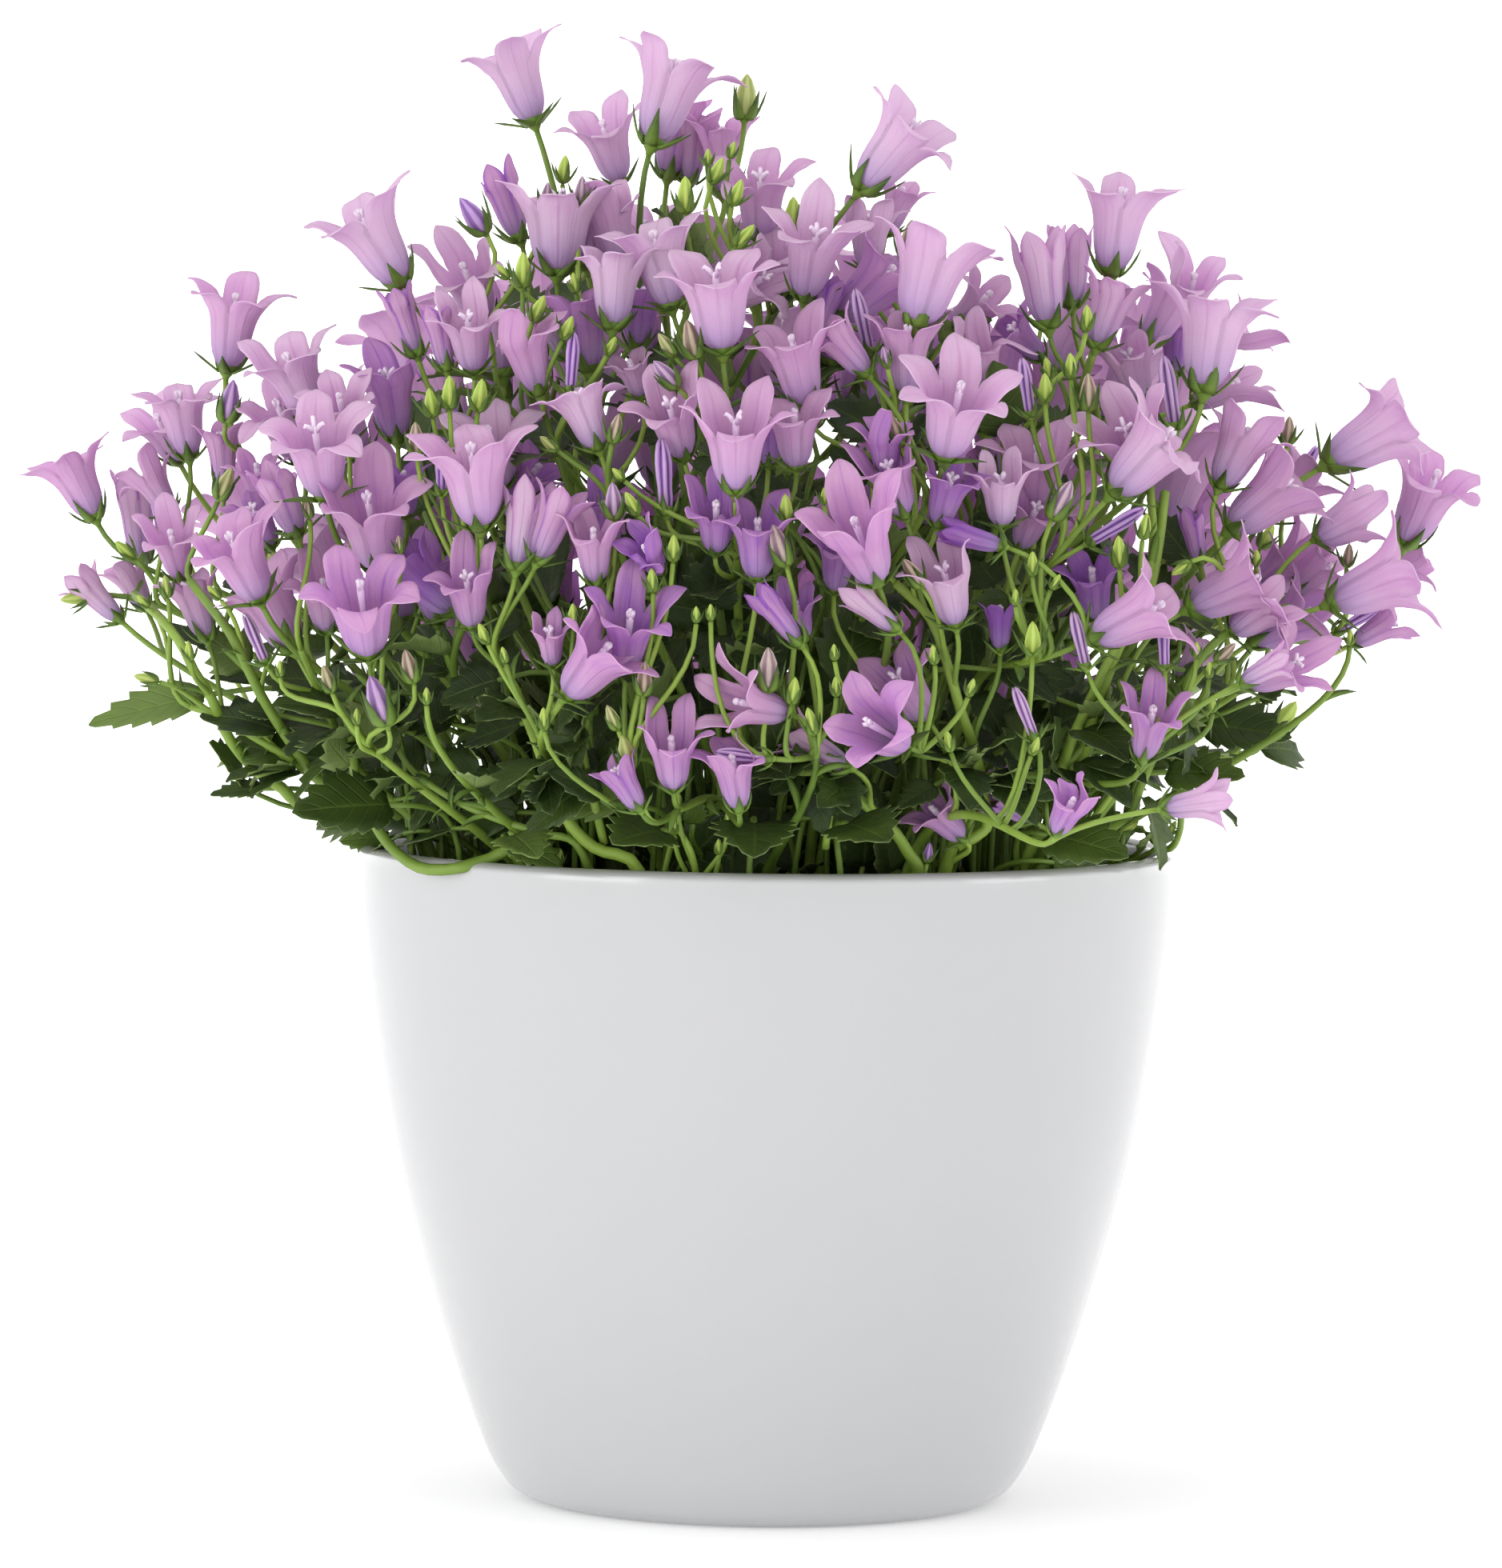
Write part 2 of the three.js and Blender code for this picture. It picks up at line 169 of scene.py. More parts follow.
def thicken(points, faces):
    """A sheet becomes a thin closed shell: its copy is moved inwards along the points' normals,
    which are the sums of the faces' cross products, and a rim joins the two."""
    p = points[:, faces]
    normals = np.zeros_like(points)
    across = np.cross(p[:, :, 2] - p[:, :, 0], p[:, :, 3] - p[:, :, 1])
    for corner in range(4):
        np.add.at(normals, (slice(None), faces[:, corner]), across)
    inner = points - unit(normals) * THICKNESS
    edges = np.concatenate([faces[:, [i, (i + 1) % 4]] for i in range(4)])
    _, where, times = np.unique(np.sort(edges, 1), axis=0, return_index=True, return_counts=True)
    rim = edges[where[times == 1]]
    count = points.shape[1]
    side = np.stack([rim[:, 1], rim[:, 0], rim[:, 0] + count, rim[:, 1] + count], -1)
    shell = np.concatenate([faces, faces[:, ::-1] + count, side])
    return np.concatenate([points, inner], 1), [shell]


# %% [markdown]
# A piece is one Blender object made of parts: points, faces, the finish that each part takes,
# and the values that its finish reads, such as how far along a petal a point lies.

# %% Making a piece
def part(points, faces, finish, **values):
    """Copies of one shape, laid end to end as one list of points and of faces."""
    copies, count, _ = points.shape
    shift = np.arange(copies)[:, None, None] * count
    laid = [(f[None] + shift).reshape(-1, f.shape[1]) for f in faces]
    spread = {k: np.broadcast_to(v, (copies, count)).ravel() for k, v in values.items()}
    return points.reshape(-1, 3), laid, finish, spread


def mesh_of(name, parts):
    """One mesh of all the parts, which keeps their finishes and values."""
    points = np.concatenate([p[0] for p in parts]) * MM
    finishes = list(dict.fromkeys(p[2] for p in parts))
    sizes, corners, which = [], [], []
    start = 0
    for p in parts:
        for f in p[1]:
            sizes.append(np.full(len(f), f.shape[1]))
            corners.append((f + start).ravel())
            which.append(np.full(len(f), finishes.index(p[2])))
        start += len(p[0])
    sizes, corners, which = (np.concatenate(a).astype(np.int32) for a in (sizes, corners, which))
    mesh = bpy.data.meshes.new(name)
    mesh.vertices.add(len(points))
    mesh.vertices.foreach_set("co", points.astype(np.float32).ravel())
    mesh.loops.add(len(corners))
    mesh.loops.foreach_set("vertex_index", corners)
    mesh.polygons.add(len(sizes))
    mesh.polygons.foreach_set("loop_start", (np.cumsum(sizes) - sizes).astype(np.int32))
    mesh.polygons.foreach_set("loop_total", sizes)
    mesh.polygons.foreach_set("material_index", which)
    mesh.polygons.foreach_set("use_smooth", np.ones(len(sizes), bool))
    for key in sorted({k for p in parts for k in p[3]}):
        layer = mesh.attributes.new(key, "FLOAT", "POINT")
        column = [p[3].get(key, np.zeros(len(p[0]))) for p in parts]
        layer.data.foreach_set("value", np.concatenate(column).astype(np.float32))
    mesh.update(calc_edges=True)
    mesh.validate()
    for finish in finishes:
        mesh.materials.append(MATERIALS[finish])
    return mesh


made = {}


def piece(name, parts, replaces=()):
    """One object at the origin, with its place in its mesh, which rides on the plant's body.
    A face with k corners counts as k - 2 triangles."""
    mesh = mesh_of(name, parts)
    item = show(name, mesh)
    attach(item, "root")
    if replaces:
        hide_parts(*replaces)
    made[name] = len(mesh.loops) - 2 * len(mesh.polygons)
    print(name, made[name], "triangles")


# %% [markdown]
# ## Finishes
# A finish is a network of nodes. Written as nodes it is long, so one small class wraps a
# socket and lets the maths be written as Python expressions.

# %% Shader maths
class Value:
    """A socket that can be added, multiplied and so on, each step adding a Math node."""

    def __init__(self, tree, socket):
        self.tree = tree
        self.socket = socket

    def math(self, operation, *others):
        node = self.tree.nodes.new("ShaderNodeMath")
        node.operation = operation
        for place, item in zip(node.inputs, (self, *others)):
            set_input(self.tree, place, item)
        return Value(self.tree, node.outputs[0])

    def __add__(self, other):
        return self.math("ADD", other)

    def __sub__(self, other):
        return self.math("SUBTRACT", other)

    def __rsub__(self, other):
        return (self * -1) + other

    def __mul__(self, other):
        return self.math("MULTIPLY", other)

    def __truediv__(self, other):
        return self.math("DIVIDE", other)

    def __pow__(self, other):
        return self.math("POWER", other)

    __radd__ = __add__
    __rmul__ = __mul__

    def clamp(self):
        return self.math("MAXIMUM", 0.0).math("MINIMUM", 1.0)

    def bump_at(self, centre, width):
        """1 at centre, falling smoothly to 0 at width to either side."""
        near = 1 - (self - centre).math("ABSOLUTE") / width
        return near.clamp() ** 1.5


def set_input(tree, socket, item):
    """Links a Value or a socket, or sets a plain number or colour."""
    if isinstance(item, Value):
        tree.links.new(item.socket, socket)
    elif isinstance(item, bpy.types.NodeSocket):
        tree.links.new(item, socket)
    elif hasattr(socket.default_value, "__len__") and len(socket.default_value) == 4:
        socket.default_value = (*item, 1.0)[:4]
    else:
        socket.default_value = item


MATERIALS = {}


class Finish:
    """A material that is being made: its nodes, and the Principled shader at its end, with
    how rough it is and how strongly it mirrors."""

    def __init__(self, name, roughness, shine=0.5, **constants):
        MATERIALS[name] = bpy.data.materials.new(name)
        MATERIALS[name].use_nodes = True
        self.tree = MATERIALS[name].node_tree
        self.shader = self.tree.nodes["Principled BSDF"]
        self.shader.inputs["Roughness"].default_value = roughness
        self.shader.inputs["Specular IOR Level"].default_value = shine
        for socket, value in constants.items():
            self.shader.inputs[socket.replace("_", " ")].default_value = value

    def node(self, kind, settings=None, **inputs):
        """Any other node: its type, its settings, then the values or links of its sockets."""
        node = self.tree.nodes.new(kind)
        for key, value in (settings or {}).items():
            setattr(node, key, value)
        for key, item in inputs.items():
            set_input(self.tree, node.inputs[key.replace("_", " ")], item)
        return node

    def value(self, name):
        """A value that the piece carries at each of its points."""
        node = self.node("ShaderNodeAttribute", {"attribute_name": name})
        return Value(self.tree, node.outputs["Fac"])

    def place(self, scale=1.0):
        """The point on the object, in metres, times a scale."""
        node = self.node("ShaderNodeTexCoord")
        scaled = self.node("ShaderNodeVectorMath", {"operation": "SCALE"}, Scale=scale)
        self.tree.links.new(node.outputs["Object"], scaled.inputs[0])
        return scaled.outputs[0]

    def join(self, x, y, z):
        """Three values as one vector."""
        return self.node("ShaderNodeCombineXYZ", X=x, Y=y, Z=z).outputs[0]

    def noise(self, vector, detail=3.0, roughness=0.5):
        """Smooth noise from 0 to 1, whose grain is one unit of the vector."""
        node = self.node("ShaderNodeTexNoise", Vector=vector, Scale=1.0, Detail=detail)
        node.inputs["Roughness"].default_value = roughness
        return Value(self.tree, node.outputs["Fac"])

    def blend(self, low, high, share):
        """low at share 0 and high at share 1, as colours."""
        node = self.node("ShaderNodeMix", {"data_type": "RGBA"})
        set_input(self.tree, node.inputs[0], share)
        set_input(self.tree, node.inputs[6], low)
        set_input(self.tree, node.inputs[7], high)
        return node.outputs[2]

    def bump(self, height, distance, strength=1.0):
        """Feeds a height, in units of distance metres, to the shader's normal."""
        node = self.node("ShaderNodeBump", Height=height, Distance=distance, Strength=strength)
        self.tree.links.new(node.outputs["Normal"], self.shader.inputs["Normal"])

    def paint(self, colour):
        set_input(self.tree, self.shader.inputs["Base Color"], colour)

    def let_light_through(self, colour, share):
        """Part of the light comes through a thin leaf or petal, in its own colour."""
        behind = self.node("ShaderNodeBsdfTranslucent", Color=colour)
        both = self.node("ShaderNodeMixShader")
        both.inputs[0].default_value = share
        self.tree.links.new(self.shader.outputs[0], both.inputs[1])
        self.tree.links.new(behind.outputs[0], both.inputs[2])
        end = self.tree.nodes["Material Output"]
        self.tree.links.new(both.outputs[0], end.inputs["Surface"])


def shade(red, green, blue):
    """A colour as it looks on a screen, 0 to 255, as the linear light that a shader takes."""
    c = np.array([red, green, blue]) / 255
    return tuple(np.where(c <= 0.04045, c / 12.92, ((c + 0.055) / 1.055) ** 2.4))


# %% [markdown]
# ## The finishes of the plant
# Petals, leaves, stems and buds each have one finish, and every piece carries values at its
# points that steer it: how far along and across a petal or leaf a point lies, and its tone.
# That way all bells share a material and yet none has exactly its neighbour's colour. Petals
# and leaves are thin, so some light comes through them from behind.

# %% The petal
PALE_LILAC = shade(236, 216, 230)
LILAC = shade(221, 177, 211)
VIOLET = shade(163, 106, 204)


def petal_finish():
    """Tone, midrib, creases and fine streaks add up to a depth from pale to violet. The creases on
    the tube are darker, partly the petals' own violet lines and partly painted shade. The inside is
    darker towards the throat, a painted shade, and the lobes' edges are paler, a painted highlight.
    A flower that is hardly open has darker creases all the way up, partly its own stripes and
    partly painted shade in the folds."""
    f = Finish("petal", 0.6, 0.3)
    along, across, tone = f.value("along"), f.value("across"), f.value("tone")
    lobe = (along - 1).clamp()
    tube = 1 - (along * 1.3 - 0.35).clamp()
    streaks = f.noise(f.join(f.value("round") * 10, along * 1.2, tone * 30), 5.0, 0.6)
    clouds = f.noise(f.place(180), 2.0)
    rib = across.math("ABSOLUTE").bump_at(0, 0.13) * (1 - lobe * 0.4)
    # The creases on the tube are darker: partly the petals' own violet lines, partly painted shade where
    # the petals meet.
    crease = across.math("ABSOLUTE").bump_at(1, 0.22) * tube
    closed = f.value("closed")
    # A hardly open flower is darker along all its creases: partly its own stripes, partly painted shade
    # in the folds.
    pleat_stripes_and_shade = across.math("ABSOLUTE").bump_at(1, 0.5) * closed * 1.1
    # Painted shade: the inside of the bell is darker towards the throat.
    painted_throat_shade = f.value("inside") * along.bump_at(1, 0.7)
    # Painted highlight: the lobes' edges are paler, like light shining through a thin margin.
    edge = across.math("ABSOLUTE").bump_at(1, 0.16) * lobe
    depth = tone + rib * 0.24 + crease * 0.36 + streaks * 0.7 + clouds * 0.35 + pleat_stripes_and_shade - 0.51
    depth = depth + painted_throat_shade * 0.14 - edge * 0.3
    colour = f.blend(PALE_LILAC, LILAC, (depth * 2).clamp())
    colour = f.blend(colour, VIOLET, (depth * 2 - 1).clamp())
    colour = f.blend(colour, shade(192, 180, 224), tube * (1 - along.clamp()) * 0.75)
    f.bump(streaks + rib * 0.6 - crease * 0.6, 0.0003, 0.6)
    f.let_light_through((0.77, 0.51, 0.79), 0.5)
    f.paint(colour)


petal_finish()

# %% Leaves, stems and buds
DARK_LEAF = shade(34, 50, 20)
MID_LEAF = shade(92, 117, 42)
PALE_LEAF = shade(138, 160, 92)


def leaf_finish():
    """The upper side runs from dark to mid green with light veins; the underside is paler."""
    f = Finish("leaf", 0.5, 0.3)
    along, across, tone = f.value("along"), f.value("across").math("ABSOLUTE"), f.value("tone")
    midrib = across.bump_at(0, 0.1)
    ripple = ((along - across * 0.3) * 38).math("SINE")
    veins = ripple.bump_at(1, 0.25) * (1 - midrib) * 0.6
    blotches = f.noise(f.place(160), 4.0)
    share = (tone * 0.8 + (blotches - 0.5) * 0.7 + veins * 0.2 + midrib * 0.35 + 0.06).clamp()
    top = f.blend(DARK_LEAF, MID_LEAF, share)
    top = f.blend(top, PALE_LEAF, ((tone - 0.75) * 3).clamp() * 0.8)
    colour = f.blend(top, PALE_LEAF, f.value("inside") * 0.75)
    colour = f.blend(colour, shade(150, 170, 110), (f.value("tooth") * 3 - 2).clamp() * 0.3)
    f.bump(midrib * -1 - veins + blotches * 0.4, 0.0003, 0.6)
    f.let_light_through((0.2, 0.34, 0.08), 0.12)
    f.paint(colour)


def stem_finish():
    """Fresh green, a little redder or darker along its length, with fine lengthwise lines."""
    f = Finish("stem", 0.5, 0.4)
    blotches = f.noise(f.place(120), 3.0)
    grain = f.noise(f.place(1500), 2.0)
    share = (f.value("tone") + (blotches - 0.5) * 0.8).clamp()
    f.bump(grain, 0.0001, 0.4)
    f.paint(f.blend(shade(72, 100, 30), shade(138, 166, 66), share))


def sepal_finish():
    """Dark green blades, lighter at the foot."""
    f = Finish("sepal", 0.55, 0.35)
    blotches = f.noise(f.place(260), 3.0)
    share = (1 - f.value("along") + (blotches - 0.5) * 0.9).clamp()
    f.bump(blotches, 0.0002, 0.4)
    f.paint(f.blend(shade(50, 74, 26), shade(112, 142, 54), share))


def bud_finish():
    """Pale ridges and darker furrows: lime, then cream and brown, then lilac and purple."""
    f = Finish("bud", 0.55, 0.35)
    tone = f.value("tone")
    streaks = f.noise(f.join(f.value("across") * 4, f.value("along") * 3, tone * 20))
    furrow = (f.value("across") * 1.9 - 0.7 + (streaks - 0.5) * 0.5).clamp()
    first, second = (tone * 2).clamp(), (tone * 2 - 1).clamp()
    ridge = f.blend(shade(178, 198, 96), shade(182, 168, 142), first)
    ridge = f.blend(ridge, shade(188, 150, 208), second)
    deep = f.blend(shade(136, 166, 62), shade(108, 78, 80), first)
    deep = f.blend(deep, shade(98, 58, 136), second)
    f.bump(streaks, 0.0003, 0.5)
    f.paint(f.blend(ridge, deep, furrow))


def style_finish():
    """The white pillar and its three tips inside a bell."""
    f = Finish("style", 0.6)
    grain = f.noise(f.place(900))
    f.paint(f.blend(shade(236, 222, 232), shade(212, 192, 218), grain))


for finish in (leaf_finish, stem_finish, sepal_finish, bud_finish, style_finish):
    finish()
print("plant finishes", list(MATERIALS))

# %% [markdown]
# ## The pot
# The pot is turned clay under a white glaze: a rounded foot, a wall that flares quickly and
# then stands almost upright, and a soft rim. A profile measured on the photograph's outline is
# carried round the axis. The glaze is white and shiny, with a faint waviness that bends its
# reflections and a few tiny specks.

# %% The pot's profile
FOOT_HOLLOW = (30.0, 0.0)
POT_OUTSIDE = [
    (37.4, 0.0), (39.6, 0.35), (42.4, 1.9), (44.2, 4.2), (46.3, 8), (49.5, 16), (53.8, 28),
    (58.6, 44), (63.1, 62), (66.8, 82), (69.2, 99), (69.9, 106),
]
RIM = [(70.0, 109.2), (69.6, 110.2), (68.5, 110.7), (67.5, 110.7), (66.4, 110.2), (66.0, 109.2)]
POT_INSIDE = [(65.2, 99), (62.8, 82), (59.1, 62), (54.6, 44), (49.8, 28), (45.5, 16), (42.3, 8)]
POT_FLOOR = [(40.3, 6), (30, 6)]
POT_SIDES = 128


def turned(profile, sides):
    """Each point of a profile (radius, height) goes round the upright axis."""
    p = np.asarray(profile, float)
    angle = np.linspace(0, 2 * np.pi, sides, endpoint=False)
    x = p[:, :1] * np.cos(angle)
    y = p[:, :1] * np.sin(angle)
    z = np.broadcast_to(p[:, 1:], x.shape)
    return np.stack([x, y, z], -1).reshape(1, -1, 3), tube_faces(len(p), sides)


def glaze_finish():
    """A white glaze whose body is painted light grey, a painted shade over the whole pot, under a
    clear coat, with slow waves in the coat and rare specks.
    """
    f = Finish("glaze", 0.22, Coat_Weight=0.5, Coat_Roughness=0.05)
    waves = f.noise(f.place(22), 2.0)
    tint = f.noise(f.place(14), 3.0)
    specks = ((f.noise(f.place(420), 1.0) - 0.8) * 12).clamp()
    # Painted shade: the white glaze's body is a light grey, so the whole pot looks shaded.
    colour = f.blend(shade(181, 181, 182), shade(175, 176, 178), tint)
    f.bump(waves, 0.0012, 0.25)
    f.paint(f.blend(colour, shade(176, 178, 180), specks * 0.7))


glaze_finish()
outside = spline(POT_OUTSIDE, 56)
over_rim = spline([POT_OUTSIDE[-1], *RIM, POT_INSIDE[0]], 32)[1:]
down_inside = spline([*POT_INSIDE, *POT_FLOOR], 24)[1:]
profile = np.concatenate([[FOOT_HOLLOW], outside, over_rim, down_inside])
piece("glazed_pot", [part(*turned(profile, POT_SIDES), "glaze")], ["pot"])

# %% [markdown]
# ## The soil
# Dark peat shows only in gaps between the leaves. Its top is domed and lumpy, and its sides go
# down inside the pot. Loose crumbs, each a few faces, lie on it.

# %% The potting soil
SOIL_SIDE = [
    (38, 6.4), (41.6, 8.4), (45.1, 16), (49.4, 28), (54.2, 44), (58.7, 62), (62.4, 82), (64.8, 98),
]
SOIL_TOP = [
    (64.6, 99), (61, 100.4), (55, 101.5), (46, 102.6), (36, 103.3), (24, 103.8), (12, 104), (3, 104),
]
SOIL_SIDES = 90
CRUMBS = 260
CRUMB_PROFILE = [(0.2, -0.7), (0.9, -0.3), (1.0, 0.4), (0.3, 0.9)]
CRUMB_SIDES = 6


def soil_finish():
    """Brown-black peat with paler fibres and a coarse, matt surface."""
    f = Finish("soil", 0.95, 0.2)
    crumbs = f.noise(f.place(500), 5.0, 0.7)
    fibres = f.noise(f.place(140), 3.0)
    f.bump(crumbs, 0.002, 1.0)
    colour = f.blend(shade(34, 26, 20), shade(78, 60, 44), crumbs)
    f.paint(f.blend(colour, shade(112, 92, 66), ((fibres - 0.62) * 5).clamp() * 0.5))


soil_finish()
top = spline(SOIL_TOP, 30)
soil_points, soil_faces = turned(np.concatenate([SOIL_SIDE, top]), SOIL_SIDES)
rows = soil_points.reshape(-1, SOIL_SIDES, 3)
heights = rows[len(SOIL_SIDE) + 2 : -1, :, 2]
heights += chance.normal(0, 0.55, heights.shape)


def crumbs():
    """Small turned lumps, each point moved a little, on the dome 104.4 - 4.6 (r / 64)^2.2."""
    reach = np.sqrt(chance.uniform(0.02, 1, CRUMBS)) * 62
    angle = chance.uniform(0, 2 * np.pi, CRUMBS)
    points, faces = turned(CRUMB_PROFILE, CRUMB_SIDES)
    sizes = chance.uniform(0.6, 1.7, (CRUMBS, 1, 1))
    points = points * sizes * chance.uniform(0.75, 1.25, (CRUMBS, points.shape[1], 3))
    rise = 104.4 - 4.6 * (reach / 64) ** 2.2
    spots = np.stack([reach * np.cos(angle), reach * np.sin(angle), rise], -1)
    return part(points + spots[:, None], faces, "soil")


soil_parts = [part(soil_points, soil_faces, "soil"), crumbs()]
piece("soil_top", soil_parts, ["potting_soil"])

# %% [markdown]
# ## The mound and the rim
# A photograph doesn't say how deep a thing lies, so a shape is assumed. The mound of flowers is
# close to half an ellipsoid, and a flower's layer says how many steps it lies behind the front
# of it. What shows lower down stands on an upright ring by the pot's rim instead.

# %% A depth for each pixel
MOUND_HALF = np.array([112.0, 85.0, 114.0])
MOUND_CENTRE = np.array([0.0, 0.0, 118.0])
LAYER_STEP = 12.0
RIM_INSIDE, RIM_OUTSIDE = 62.0, 71.6
RING_TOP, RING_FADE = 112.0, 34.0


def on_mound(pixel, layer=0):
    """The point that a pixel shows on the mound's front: y = -half * sqrt(1 - x'^2 - z'^2)."""
    y = 0.0
    for _ in range(4):
        x, _, z = (point_at(pixel, y) - MOUND_CENTRE) / MOUND_HALF
        y = -MOUND_HALF[1] * np.sqrt(max(1 - x * x - z * z, 0)) + layer * LAYER_STEP
    return point_at(pixel, y)


def beside_rim(pixel, ring=RIM_INSIDE):
    """The point that a pixel shows on the ring, y = -sqrt(ring^2 - x^2), up to RING_TOP, and a
    little behind the mound's front from RING_FADE higher up."""
    front = on_mound(pixel)
    flat = np.sqrt(max(ring**2 - front[0] ** 2, 40.0))
    share = np.clip((front[2] - RING_TOP) / RING_FADE, 0, 1)
    return point_at(pixel, mix(-flat, min(front[1] * 0.86, -flat * 0.2), share))
